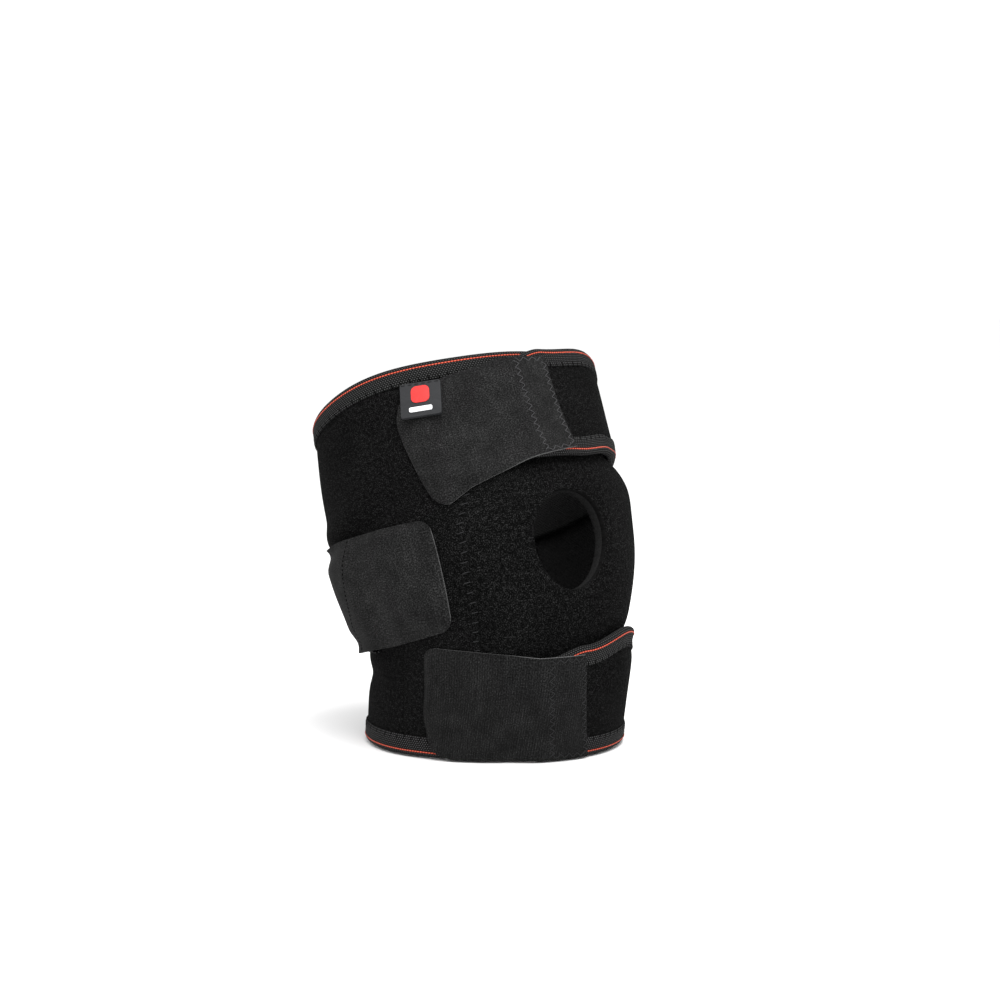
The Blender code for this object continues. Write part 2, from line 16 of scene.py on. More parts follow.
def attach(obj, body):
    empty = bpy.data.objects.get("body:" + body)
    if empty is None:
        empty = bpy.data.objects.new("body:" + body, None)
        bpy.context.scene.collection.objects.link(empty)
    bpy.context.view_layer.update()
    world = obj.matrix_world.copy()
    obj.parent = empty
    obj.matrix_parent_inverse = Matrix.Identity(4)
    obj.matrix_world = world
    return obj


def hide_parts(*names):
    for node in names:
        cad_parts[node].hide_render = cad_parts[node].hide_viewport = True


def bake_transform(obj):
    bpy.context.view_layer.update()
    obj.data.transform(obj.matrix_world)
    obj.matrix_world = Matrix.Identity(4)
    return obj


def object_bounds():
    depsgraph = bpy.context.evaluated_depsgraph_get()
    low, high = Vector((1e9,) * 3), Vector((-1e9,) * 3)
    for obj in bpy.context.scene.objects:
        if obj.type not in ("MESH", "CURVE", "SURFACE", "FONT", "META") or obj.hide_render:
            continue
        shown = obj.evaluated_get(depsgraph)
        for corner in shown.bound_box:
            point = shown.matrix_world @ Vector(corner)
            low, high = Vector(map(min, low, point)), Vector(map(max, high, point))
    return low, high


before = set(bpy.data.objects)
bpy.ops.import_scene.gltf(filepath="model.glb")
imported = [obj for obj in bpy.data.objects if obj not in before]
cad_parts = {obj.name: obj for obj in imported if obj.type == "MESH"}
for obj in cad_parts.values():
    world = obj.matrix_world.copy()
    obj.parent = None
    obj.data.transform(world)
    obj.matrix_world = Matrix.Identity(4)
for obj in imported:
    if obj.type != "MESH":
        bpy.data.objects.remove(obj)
cad_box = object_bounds()

MM = 0.001

# Leg, as in the CAD
LENGTH = 165.0
STATIONS = np.array((0.0, 45.0, 82.0, 120.0, LENGTH))
HALF_LEFT = np.array((52.5, 53.0, 61.5, 64.0, 59.5))
HALF_RIGHT = np.array((52.6, 55.3, 65.3, 64.8, 66.3))
HALF_FRONT = np.array((52.0, 64.0, 72.0, 63.0, 59.0))
HALF_BACK = np.array((59.0, 55.0, 60.0, 62.0, 58.0))
THIGH_TILT = 25.0
BEND_START = 27.0
BEND_END = 111.0
RIM_RISE = 3.4
RISE_START = 120.0
RISE_ANGLE = -68.0
RISE_SPREAD = 35.0
MIDDLE_X = 1.33
MIDDLE_Y = 11.82
MEAN_RADIUS = 65.0

# Layers, from the skin outward, as in the CAD
SHEET = 2.8
TAPE = 0.6
GAP = 0.4
INNER_LAYER = 1.0
OUTER_LAYER = 6.2
BACK_LAYER = 5.0
PANEL_TOP = INNER_LAYER + SHEET
BINDING_WIDTH = 8.0
EDGE_GAP = 0.9
SEAM_GAP = 0.06
KNIT_ROW = 0.95
LOWER_EDGE = TAPE + EDGE_GAP
UPPER_EDGE = LENGTH - LOWER_EDGE

# Panels and straps round the leg, as in the CAD, with a closer notch
FRONT_PANEL_END = 60.0
RIGHT_WING_CUT = 92.0
RIGHT_WING_END = 124.0
LEFT_WING_END = -244.0
NOTCH_START = -162.0
NOTCH_LOW = 42.2
NOTCH_HIGH = 107.9
BAND_LOW = 46.0
BAND_HIGH = 106.0
SHOULDER_END = 112.0
SHOULDER_LOW = 41.8
SHOULDER_HIGH = 113.8
STRAP_ROOT = 114.0
BAND_ROOT = -233.0
RAMP = 16.0

# Kneecap opening and the pad behind its edge, as in the CAD
OPENING_ANGLE = 2.4
OPENING_S = 80.6
OPENING_HALF_WIDTH = 20.4
OPENING_HALF_HEIGHT = 23.6
OPENING_LEAN = -24.0
RING_REACH = 10.5
RING_BOTTOM = -4.4
KNEE_RADIUS = 66.5
KNEE_STRETCH = 1.5
OPENING_RINGS = 8

# Tabs and their hook tape
TAB_SHEET = 1.1
TAB_ON_PANEL = 6.3
TAB_EDGE_DROP = 1.6
TAB_EDGE_REACH = 4.0
TAB_FLAT_RIM = 5.0
TAB_PLAY = 0.1
TAB_NORMAL_HEIGHT = 9.0
HOOK_BACKING = 0.5

# Side stays, as in the CAD
STAY_ANGLE = 57.0
STAY_SPAN = (24.0, 140.0)
STAY_WIDTH = 6.0
STAY_HEIGHT = -0.6
CAP_LENGTH = 7.0
POCKET_MARGIN = 12.0

# How far the front of the cloth stands out over a stay, and beside the knee
STAY_BULGE = 0.7
STAY_BULGE_SPAN = (18.0, 146.0)
SIDE_BULGE = 3.4
SIDE_BULGE_ANGLE = 58.0
SIDE_BULGE_S = 103.0
SIDE_BULGE_TOP = 119.0

# Label, as in the CAD but a little lower and further out, clear of the tab beneath it
LABEL_ANGLE = -40.9
LABEL_S = 154.2
LABEL_HEIGHT = 5.9
LABEL_WIDTH = 19.0
LABEL_DROP = 17.8
LABEL_THICKNESS = 1.7
LABEL_LEAN = 9.0
LABEL_CURL = 0.25
LABEL_ROLL = -6.0
BADGE_SIZE = 8.6
BAR_LENGTH = 10.8
BAR_HEIGHT = 2.4

# Fineness of the cloth grids
CLOTH_STEP = 1.6
TAB_STEP = 1.0
TAPE_STEP = 0.8
EDGE_ROUNDING = 0.9

# Stage, with the camera's angles in degrees, its target and lens in millimetres and its
# distance in metres
FLOOR_SIZE = 8.0
SKY_STRENGTH = 1.12
CAMERA_AZIMUTH = -33.29
CAMERA_ELEVATION = 5.65
CAMERA_TARGET = (2.52, -13.82, 113.17)
CAMERA_DISTANCE = 1.365
CAMERA_LENS = 105.0


# ---------------- leg surface

def smoothstep(x):
    x = np.clip(x, 0.0, 1.0)
    return x * x * (3.0 - 2.0 * x)


def hill(x, centre, width):
    """A smooth bump of height 1 about a centre."""
    return np.exp(-((x - centre) / width) ** 2)


def between(x, low, high, fade):
    """1 between two values, fading to 0 at both."""
    return smoothstep((x - low) / fade) * smoothstep((high - x) / fade)


def centre_line():
    """Tilt and centre of the leg's sections, sampled along its length."""
    s = np.linspace(0.0, LENGTH, 331)
    tilt = np.radians(THIGH_TILT) * smoothstep((s - BEND_START) / (BEND_END - BEND_START))
    step = s[1] - s[0]
    middle = 0.5 * (tilt[1:] + tilt[:-1])
    y = np.concatenate(([0.0], np.cumsum(np.sin(middle) * step)))
    z = np.concatenate(([0.0], np.cumsum(np.cos(middle) * step)))
    return s, tilt, y, z


LINE_S, LINE_TILT, LINE_Y, LINE_Z = centre_line()


def half_size(values, s):
    """A smooth curve through the stations, as cubic pieces with matching slopes."""
    slopes = np.gradient(values, STATIONS)
    i = np.clip(np.searchsorted(STATIONS, s) - 1, 0, len(STATIONS) - 2)
    span = STATIONS[i + 1] - STATIONS[i]
    t = (s - STATIONS[i]) / span
    start = values[i] * (1 + 2 * t) * (1 - t) ** 2 + slopes[i] * span * t * (1 - t) ** 2
    end = values[i + 1] * t * t * (3 - 2 * t) + slopes[i + 1] * span * t * t * (t - 1)
    return start + end


def rim_rise(angle, s):
    """The upper rim climbs a little on the left side."""
    climb = smoothstep((s - RISE_START) / (LENGTH - RISE_START))
    return RIM_RISE * hill(angle, RISE_ANGLE, RISE_SPREAD) * climb


def skin(angle, s, h):
    """Places in metres, as an array with one more axis than the inputs."""
    angle, s, h = np.broadcast_arrays(*(np.asarray(v, float) for v in (angle, s, h)))
    s = s + rim_rise(angle, s)
    inside = np.clip(s, 0.0, LENGTH)
    tilt = np.interp(inside, LINE_S, LINE_TILT)
    turn = np.radians(angle)
    right, front = np.sin(turn) > 0, np.cos(turn) > 0
    widths = np.where(right, half_size(HALF_RIGHT, inside), half_size(HALF_LEFT, inside))
    depths = np.where(front, half_size(HALF_FRONT, inside), half_size(HALF_BACK, inside))
    x = (widths + h) * np.sin(turn) - MIDDLE_X
    forward = (depths + h) * np.cos(turn)
    y = np.interp(inside, LINE_S, LINE_Y) + (s - inside) * np.sin(tilt)
    z = np.interp(inside, LINE_S, LINE_Z) + (s - inside) * np.cos(tilt)
    y = y - forward * np.cos(tilt) - MIDDLE_Y
    z = z + forward * np.sin(tilt)
    return np.stack((x, y, z), axis=-1) * MM


def outward(angle, s, h):
    """Unit vectors out from the leg."""
    round_leg = skin(np.asarray(angle) + 0.5, s, h) - skin(np.asarray(angle) - 0.5, s, h)
    up = skin(angle, np.asarray(s) + 0.5, h) - skin(angle, np.asarray(s) - 0.5, h)
    out = np.cross(round_leg, up)
    return out / np.linalg.norm(out, axis=-1, keepdims=True)


def stretch(angle, s):
    """How much longer the skin is than s: over 1 in front of the bend, under 1 behind."""
    step = skin(angle, s + 1.0, INNER_LAYER) - skin(angle, s - 1.0, INNER_LAYER)
    return np.linalg.norm(step, axis=-1) / (2.0 * MM)


def degrees_for(length):
    """The angle that a length in millimetres takes up round the leg."""
    return np.degrees(length / MEAN_RADIUS)


def length_of(angle):
    """The length in millimetres of an angle round the leg."""
    return np.radians(angle) * MEAN_RADIUS


def flat_length(angle, layer=0.0):
    """The flat length in metres of cloth over an angle, on a layer above the mean radius."""
    return math.radians(abs(angle)) * (MEAN_RADIUS + layer) * MM


def run_along(points):
    """Distances along a row of points."""
    return np.concatenate(([0.0], np.cumsum(np.linalg.norm(np.diff(points, axis=0), axis=1))))


def through(*points):
    """A smooth function of the angle through (angle, value) points, lowest angle first."""
    stops = np.array(points)

    def value(angle):
        angle = np.asarray(angle, float)
        i = np.clip(np.searchsorted(stops[:, 0], angle) - 1, 0, len(stops) - 2)
        t = smoothstep((angle - stops[i, 0]) / (stops[i + 1, 0] - stops[i, 0]))
        return stops[i, 1] + (stops[i + 1, 1] - stops[i, 1]) * t

    return value


def straight(*points):
    """Straight runs through (place, value) points, lowest place first."""
    stops = np.array(points)
    return lambda place: np.interp(place, stops[:, 0], stops[:, 1])


def flat(value):
    return lambda angle: np.full(np.shape(angle), float(value))


# ---------------- outlines

UPPER_STRAP_LOW = through((-8.0, 110.5), (14.0, 111.0), (38.0, 115.5), (62.0, 119.5), (98.0, 116.5))
UPPER_STRAP_HIGH = through((-8.0, 156.6), (10.0, 162.6), (42.0, 167.0), (98.0, UPPER_EDGE))
LOWER_STRAP_LOW = flat(LOWER_EDGE)
LOWER_STRAP_HIGH = through((-15.0, 43.6), (4.0, 47.2), (32.0, 51.3), (55.0, 48.5), (100.0, 38.0))
FRONT_STRAP_HEIGHT = through((STRAP_ROOT - RAMP, OUTER_LAYER), (STRAP_ROOT, INNER_LAYER))
MIDDLE_STRAP_LOW = through((-200.0, 44.5), (-110.0, 46.5))
MIDDLE_STRAP_HIGH = through((-200.0, 105.5), (-110.0, 100.0))
MIDDLE_RAMP_END = NOTCH_START - 2.0
MIDDLE_STRAP_HEIGHT = through((MIDDLE_RAMP_END - RAMP, INNER_LAYER), (MIDDLE_RAMP_END, BACK_LAYER))
SEAM_LINE = straight((8.0, -79.0), (41.0, -80.6), (120.0, -60.0), (155.0, -50.0))
CHANNEL_LINE = straight((8.0, -44.0), (50.0, -43.4), (78.0, -44.2), (90.0, -41.5), (98.0, -37.0),
                        (112.0, -31.0))
CHANNEL_TOP = 112.0

# Places along the leg where the cloth is pressed in, as (depth, s, spread)
STRAP_DIPS = ((2.4, 100.0, 5.0), (-2.2, 110.0, 6.0), (1.3, 48.0, 6.0))
FOLD_DIPS = ((2.2, 47.0, 5.0), (1.2, 118.0, 4.0))
FOLD_ANGLE = 57.0
PRESSED_FROM, PRESSED_TO = -165.0, -62.0
HOLLOW_ANGLE, HOLLOW_S, HOLLOW_DEPTH = -123.0, 32.0, 1.6


def pressed(dips, s):
    return sum(depth * hill(s, place, spread) for depth, place, spread in dips)


def swell(angle, s):
    """The slow unevenness that every layer shares, so that the layers stay apart: the dips
    where the straps' edges press them in, and the hollow below the middle strap."""
    turn = np.radians(angle)
    wide = 0.35 * np.sin(3 * turn + 0.6) * np.sin(s / 23.0 + 1.0)
    narrow = 0.2 * np.sin(7 * turn - s / 15.0)
    under_strap = smoothstep((angle - PRESSED_FROM) / 20.0)
    under_strap = under_strap * smoothstep((PRESSED_TO - angle) / 30.0)
    hollow = HOLLOW_DEPTH * hill(angle, HOLLOW_ANGLE, 35.0) * hill(s, HOLLOW_S, 6.0)
    folds = pressed(FOLD_DIPS, s) * hill(angle, FOLD_ANGLE, 25.0)
    return wide + narrow - under_strap * pressed(STRAP_DIPS, s) - hollow - folds


# ---------------- meshes

def add_object(name, verts, faces, mats):
    mesh = bpy.data.meshes.new(name)
    mesh.from_pydata([tuple(v) for v in verts], [], faces)
    for mat in mats:
        mesh.materials.append(mat)
    mesh.shade_smooth()
    obj = bpy.data.objects.new(name, mesh)
    bpy.context.scene.collection.objects.link(obj)
    return obj


def pattern(x, y):
    """One flat place for each vertex, from two arrays that broadcast together."""
    return np.stack(np.broadcast_arrays(x, y), axis=-1).reshape(-1, 2)


def lay_pattern(obj, coords):
    """Stores where each corner lies on the flat cloth, in millimetres."""
    layer = obj.data.uv_layers.new(name="cloth")
    corner = np.zeros(len(obj.data.loops), np.int32)
    obj.data.loops.foreach_get("vertex_index", corner)
    layer.data.foreach_set("uv", np.asarray(coords, np.float32)[corner].ravel())


def claim(obj, bodies=("root",), stands_for=()):
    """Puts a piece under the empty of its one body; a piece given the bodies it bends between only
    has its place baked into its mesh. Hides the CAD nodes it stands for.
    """
    if len(bodies) == 1:
        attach(obj, bodies[0])
    else:
        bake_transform(obj)
    if stands_for:
        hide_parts(*stands_for)


def grid_faces(columns, rows, keep=None):
    """Quads of a grid whose vertex (i, j) is number i * rows + j, facing outward."""
    faces = []
    for i in range(columns - 1):
        for j in range(rows - 1):
            if keep is None or keep(i, j):
                a = i * rows + j
                faces.append((a, a + rows, a + rows + 1, a + 1))
    return faces


def tube_faces(rings, sides, first=0, closed=False):
    """Quads between rings of vertices, closed in a loop or with a cap on each end."""
    faces = []
    for i in range(rings if closed else rings - 1):
        a, b = first + i * sides, first + (i + 1) % rings * sides
        for j in range(sides):
            k = (j + 1) % sides
            faces.append((a + j, a + k, b + k, b + j))
    if not closed:
        faces.append(tuple(first + j for j in reversed(range(sides))))
        faces.append(tuple(first + (rings - 1) * sides + j for j in range(sides)))
    return faces


def compact(points, coords, faces):
    """Drops the vertices that no face uses."""
    used = sorted({int(v) for face in faces for v in face})
    number = {v: k for k, v in enumerate(used)}
    return points[used], coords[used], [tuple(number[int(v)] for v in face) for face in faces]


def round_edges(obj, width):
    edge = obj.modifiers.new("Rounded edge", "BEVEL")
    edge.width = width * MM
    edge.segments = 3
    edge.limit_method = "ANGLE"
    edge.angle_limit = math.radians(50.0)


def thicken(obj, thickness, rounding=0.0):
    """Both faces of a sheet; the side toward the leg takes the second material slot, and
    the cut edge the third."""
    solid = obj.modifiers.new("Thickness", "SOLIDIFY")
    solid.thickness = thickness * MM
    solid.offset = 0.0
    solid.use_even_offset = True
    slots = len(obj.data.materials)
    solid.material_offset = 1 if slots > 1 else 0
    solid.material_offset_rim = 2 if slots > 2 else 0
    if rounding:
        round_edges(obj, rounding)
    return obj


def steps(start, end, step):
    return np.linspace(start, end, max(2, round(abs(end - start) / step) + 1))


def joined_steps(stops, step):
    """Evenly spaced values that pass through every stop."""
    runs = [steps(a, b, step)[:-1] for a, b in zip(stops, stops[1:])]
    return np.concatenate(runs + [[stops[-1]]])


def lattice(columns, rows):
    """Every column with every row, as two matching arrays."""
    return np.meshgrid(columns, rows, indexing="ij")


def cloth_place(angle, s):
    return pattern(length_of(angle), s)


def sheet_grid(name, angles, s, h, mats, thickness, rounding=EDGE_ROUNDING, keep=None):
    """A thick sheet from matching arrays of angles, distances and middle heights."""
    points = skin(angles, s, h + swell(angles, s)).reshape(-1, 3)
    faces = grid_faces(*angles.shape, keep)
    points, coords, faces = compact(points, cloth_place(angles, s), faces)
    obj = add_object(name, points, faces, mats)
    lay_pattern(obj, coords)
    return thicken(obj, thickness, rounding)


def band_grid(columns, low, high, step=CLOTH_STEP):
    """Angles and distances of a band between two edges that depend on the angle."""
    widest = float(np.max(high(columns) - low(columns)))
    t = np.linspace(0.0, 1.0, max(3, round(widest / step) + 1))
    bottom, top = low(columns)[:, None], high(columns)[:, None]
    s = bottom + (top - bottom) * t
    return np.broadcast_to(columns[:, None], s.shape), s


# ---------------- materials

class Look:
    """A cloth material being built: its tree, its shader and its flat pattern in mm."""

    def __init__(self, name, colour, roughness, specular=0.1, metallic=0.0, sheen=0.0):
        self.material = bpy.data.materials.new(name)
        self.material.use_nodes = True
        self.tree = self.material.node_tree
        self.shader = self.tree.nodes["Principled BSDF"]
        self.set(self.shader, "Base Color", (*colour, 1.0))
        self.set(self.shader, "Roughness", roughness)
        self.set(self.shader, "Specular IOR Level", specular)
        self.set(self.shader, "Metallic", metallic)
        self.set(self.shader, "Sheen Weight", sheen)
        self.pattern = self.node("ShaderNodeUVMap").outputs["UV"]
        self.pattern.node.uv_map = "cloth"

    def node(self, kind, **values):
        made = self.tree.nodes.new(kind)
        for key, value in values.items():
            setattr(made, key, value)
        return made

    def set(self, node, socket, value):
        """Links an output, or sets a plain value."""
        if isinstance(value, bpy.types.NodeSocket):
            self.tree.links.new(value, node.inputs[socket])
        else:
            node.inputs[socket].default_value = value

    def finish(self, colour, normal):
        self.set(self.shader, "Base Color", colour)
        self.set(self.shader, "Normal", normal)
        return self.material

    def noise(self, scale, detail=2.0, squeeze=None):
        """Noise over the pattern, which may be squeezed by a factor for each axis."""
        where = self.pattern
        if squeeze:
            scaled = self.node("ShaderNodeVectorMath", operation="MULTIPLY")
            self.set(scaled, 0, where)
            self.set(scaled, 1, squeeze)
            where = scaled.outputs["Vector"]
        made = self.node("ShaderNodeTexNoise")
        self.set(made, "Vector", where)
        self.set(made, "Scale", scale)
        self.set(made, "Detail", detail)
        return made.outputs["Fac"]

    def math(self, operation, a, b=0.0):
        made = self.node("ShaderNodeMath", operation=operation)
        self.set(made, 0, a)
        self.set(made, 1, b)
        return made.outputs["Value"]

    def mixed(self, a, share_a, b, share_b):
        """The sum of a share of each."""
        first, second = self.math("MULTIPLY", a, share_a), self.math("MULTIPLY", b, share_b)
        return self.math("ADD", first, second)

    def coordinate(self, axis):
        made = self.node("ShaderNodeSeparateXYZ")
        self.set(made, "Vector", self.pattern)
        return made.outputs[axis]

    def wave(self, coordinate, pitch, phase=None):
        """A cosine of a pattern coordinate, from 0 to 1."""
        turns = self.math("MULTIPLY", coordinate, 2 * math.pi / pitch)
        if phase:
            turns = self.math("ADD", turns, phase)
        return self.math("MULTIPLY", self.math("ADD", self.math("COSINE", turns), 1.0), 0.5)

    def ramp(self, value, *stops):
        """A grey or coloured ramp through (place, colour) stops."""
        made = self.node("ShaderNodeValToRGB")
        self.set(made, "Fac", value)
        band = made.color_ramp.elements
        while len(band) < len(stops):
            band.new(0.5)
        for element, (place, colour) in zip(band, stops):
            element.position = place
            element.color = (*colour, 1.0) if isinstance(colour, tuple) else (colour,) * 3 + (1.0,)
        return made.outputs["Color"]

    def multiply(self, a, b):
        made = self.node("ShaderNodeMix", data_type="RGBA", blend_type="MULTIPLY")
        made.inputs[0].default_value = 1.0
        self.tree.links.new(a, made.inputs[6])
        self.tree.links.new(b, made.inputs[7])
        return made.outputs[2]

    def bump(self, height, distance, below=None):
        made = self.node("ShaderNodeBump")
        self.set(made, "Height", height)
        self.set(made, "Distance", distance * MM)
        if below:
            self.set(made, "Normal", below)
        return made.outputs["Normal"]


def loop_fabric():
    """Brushed loop pile: nearly black, with loose fibre tips that catch the light."""
    look = Look("loop fabric", (0.008, 0.008, 0.009), 1.0, specular=0.02)
    tips, clumps, patches = look.noise(2.2), look.noise(0.6), look.noise(0.04)
    colour = look.ramp(look.mixed(tips, 0.75, clumps, 0.25),
                       (0.36, 0.0006), (0.52, 0.0026), (0.68, 0.024))
    tone = look.ramp(patches, (0.3, 0.78), (0.7, 1.25))
    return look.finish(look.multiply(colour, tone), look.bump(tips, 0.4))


def knitted_tape():
    """Elastic tape: rows of small stitches in brick order, parallel to the edge."""
    look = Look("knitted tape", (0.015, 0.015, 0.016), 0.85, specular=0.05)
    across = look.coordinate("Y")
    row = look.math("FLOOR", look.math("DIVIDE", across, KNIT_ROW))
    bricks = look.wave(look.coordinate("X"), 1.3, look.math("MULTIPLY", row, math.pi))
    rows = look.wave(across, KNIT_ROW)
    knit = look.math("MULTIPLY", bricks, look.math("SUBTRACT", 1.0, rows))
    grain = look.noise(2.2)
    colour = look.ramp(look.mixed(knit, 0.75, grain, 0.35),
                       (0.15, 0.003), (0.45, 0.014), (0.9, 0.075))
    return look.finish(colour, look.bump(knit, 0.35, look.bump(grain, 0.1)))


def suede(name, ribbed):
    """Brushed microfibre, with a faint nap; the ribbed kind shows its knit columns and is painted
    darker all over, as shade on the low-lying lower tab.
    """
    look = Look(name, (0.016, 0.016, 0.017), 0.9, specular=0.05, sheen=0.01)
    grain = look.noise(1.8, 3.0)
    brushed = look.noise(0.5, squeeze=(1.0, 0.35, 1.0))
    nap = look.noise(0.09)
    colour = look.ramp(grain, (0.3, 0.0015), (0.5, 0.0085), (0.68, 0.027))
    shade = look.multiply(colour, look.ramp(nap, (0.3, 0.72), (0.7, 1.3)))
    shade = look.multiply(shade, look.ramp(brushed, (0.3, 0.8), (0.7, 1.2)))
    normal = look.bump(grain, 0.12)
    if ribbed:
        wander = look.math("MULTIPLY", look.noise(0.5), 1.5)
        ribs = look.wave(look.coordinate("X"), 1.2, wander)
        # Rib stripes, and a lower tone all over that is painted shade for the lower tab
        shade = look.multiply(shade, look.ramp(ribs, (0.0, 0.58), (1.0, 0.96)))
        normal = look.bump(ribs, 0.1, normal)
    return look.finish(shade, normal)


def jersey():
    """Fine knitted lining: narrow columns of V stitches."""
    look = Look("lining jersey", (0.02, 0.02, 0.021), 0.9, specular=0.05)
    lean = look.math("MULTIPLY", look.wave(look.coordinate("X"), 1.2), 2.2)
    stitches = look.wave(look.coordinate("Y"), 0.8, lean)
    grain = look.noise(1.2)
    colour = look.ramp(look.mixed(stitches, 0.5, grain, 0.5), (0.2, 0.008), (0.8, 0.026))
    return look.finish(colour, look.bump(stitches, 0.2, look.bump(grain, 0.15)))


def foam(name, colour):
    """Cut neoprene: a dull grain of tiny closed cells."""
    look = Look(name, (colour,) * 3, 0.95, specular=0.03)
    cells = look.node("ShaderNodeTexVoronoi")
    look.set(cells, "Vector", look.pattern)
    look.set(cells, "Scale", 2.5)
    size = cells.outputs["Distance"]
    shade = look.ramp(size, (0.0, colour * 0.5), (0.7, colour * 1.4))
    return look.finish(shade, look.bump(size, 0.12))


def thread(name, colour, specular=0.1):
    """Sewing thread, with the twist of its plies."""
    look = Look(name, colour, 0.7, specular=specular)
    twist = look.wave(look.math("ADD", look.coordinate("X"), look.coordinate("Y")), 0.5)
    dark = tuple(c * 0.6 for c in colour)
    return look.finish(look.ramp(twist, (0.0, dark), (1.0, colour)), look.bump(twist, 0.05))


def woven_line():
    """Orange-red yarn in dashes, with a painted glint at the crown of each float."""
    look = Look("woven line", (0.6, 0.06, 0.03), 0.6, specular=0.2)
    float_row = look.wave(look.coordinate("X"), 1.5)
    middle = look.wave(look.coordinate("Y"), 0.9)
    narrow = look.math("POWER", middle, 2.0)
    # Painted highlight on the middle of each float, where the round yarn catches the light
    float_glint = look.math("MULTIPLY", look.math("POWER", float_row, 4.0), narrow)
    base = look.ramp(look.noise(3.0), (0.3, (0.36, 0.03, 0.016)), (0.7, (0.56, 0.06, 0.03)))
    dashes = look.multiply(base, look.ramp(float_row, (0.05, 0.3), (0.5, 1.0)))
    light = look.multiply(dashes, look.ramp(float_glint, (0.0, 1.0), (1.0, (1.3, 3.0, 3.0))))
    return look.finish(light, look.bump(float_row, 0.12))


def hook_tape():
    """Moulded nylon hook tape."""
    look = Look("hook tape", (0.02, 0.02, 0.021), 0.5, specular=0.4)
    grain = look.noise(1.0)
    return look.finish(look.ramp(grain, (0.3, 0.012), (0.7, 0.03)), look.bump(grain, 0.05))


def plain(name, colour, roughness, specular=0.5, metallic=0.0):
    """A moulded or metal surface with a fine grain and slightly uneven gloss."""
    look = Look(name, colour, roughness, specular, metallic)
    grain = look.noise(1.5, 4.0)
    dark = tuple(c * 0.85 for c in colour)
    light = tuple(min(1.0, c * 1.12) for c in colour)
    gloss = look.ramp(look.noise(0.3, 3.0), (0.3, roughness * 0.85), (0.7, roughness * 1.15))
    look.set(look.shader, "Roughness", gloss)
    return look.finish(look.ramp(grain, (0.3, dark), (0.7, light)), look.bump(grain, 0.04))


LOOP = loop_fabric()
TAPE_LOOK = knitted_tape()
SUEDE = suede("suede", False)
RIBBED_SUEDE_PAINTED_SHADE = suede("ribbed suede", True)
SUEDE_EDGE = foam("suede cut edge", 0.07)
LINING = jersey()
CUT_FOAM = foam("cut neoprene", 0.004)
THREAD = thread("black thread", (0.022, 0.022, 0.023))
TAB_THREAD = thread("tab thread", (0.065, 0.065, 0.067))
DULL_THREAD = thread("dull thread", (0.028, 0.028, 0.029))
SEAM_THREAD = thread("seam thread", (0.006, 0.006, 0.006), 0.0)
# Near black, far darker than the black thread: painted shade of the grooves and holes that sunk
# stitches sit in
PAINTED_SHADE_THREAD = thread("dark thread", (0.001, 0.001, 0.001), 0.0)
RING_COVER = foam("pad cover", 0.0085)
ORANGE = woven_line()
HOOK = hook_tape()
RUBBER = plain("label rubber", (0.016, 0.0165, 0.018), 0.6, 0.2)
RED = plain("label dot", (0.55, 0.03, 0.028), 0.5, 0.2)
PALE = plain("label bar", (0.75, 0.75, 0.76), 0.5, 0.4)
STEEL = plain("stay steel", (0.55, 0.56, 0.58), 0.32, 0.5, 1.0)
PLASTIC = plain("cap plastic", (0.02, 0.02, 0.021), 0.4, 0.5)
PANEL_MATERIALS = [LOOP, LINING, CUT_FOAM]


# ---------------- panels

def fullness(angle, s):
    """How far the cloth stands out over the sewn-in stays, and between the two front
    straps on its right side."""
    over_stay = hill(np.abs(angle), STAY_ANGLE, 5.0) * between(s, *STAY_BULGE_SPAN, 12.0)
    side = hill(angle, SIDE_BULGE_ANGLE, 26.0) * hill(s, SIDE_BULGE_S, 12.0)
    return STAY_BULGE * over_stay + SIDE_BULGE * side * smoothstep((SIDE_BULGE_TOP - s) / 8.0)


def seam_groove(distance):
    """The dip of a sheet beside a seam, from a distance in millimetres."""
    return -0.35 * hill(distance, 0.0, 1.2)


def channel_valley(angle, s):
    """The dip beside the bars that close the stay's channel."""
    beside = length_of(angle - CHANNEL_LINE(s))
    return -0.5 * hill(beside, 2.2, 2.2) * smoothstep((CHANNEL_TOP + 4.0 - s) / 8.0)


def beyond_opening(turn, growth):
    """Angles and distances just outside the opening's leaning oval edge, by a growth."""
    across = (OPENING_HALF_WIDTH + growth) * np.cos(turn)
    up = (OPENING_HALF_HEIGHT + growth) * np.sin(turn)
    lean = math.radians(OPENING_LEAN)
    aside = across * math.cos(lean) - up * math.sin(lean)
    s = OPENING_S + (across * math.sin(lean) + up * math.cos(lean)) / KNEE_STRETCH
    return OPENING_ANGLE + np.degrees(aside / KNEE_RADIUS), s


def opening_place(angle, s):
    """The turn round the opening's oval of a place, and how many times wider it lies."""
    across = np.radians(angle - OPENING_ANGLE) * KNEE_RADIUS
    up = (s - OPENING_S) * KNEE_STRETCH
    lean = math.radians(-OPENING_LEAN)
    x = (across * math.cos(lean) - up * math.sin(lean)) / OPENING_HALF_WIDTH
    y = (across * math.sin(lean) + up * math.cos(lean)) / OPENING_HALF_HEIGHT
    return np.arctan2(y, x), np.hypot(x, y)


def rolled_edge(angle, s):
    """The panel's edge round the opening turns in over the pad."""
    beyond = (opening_place(angle, s)[1] - 1.0) * OPENING_HALF_WIDTH
    return -0.9 * hill(np.maximum(beyond, 0.0), 0.0, 2.2)


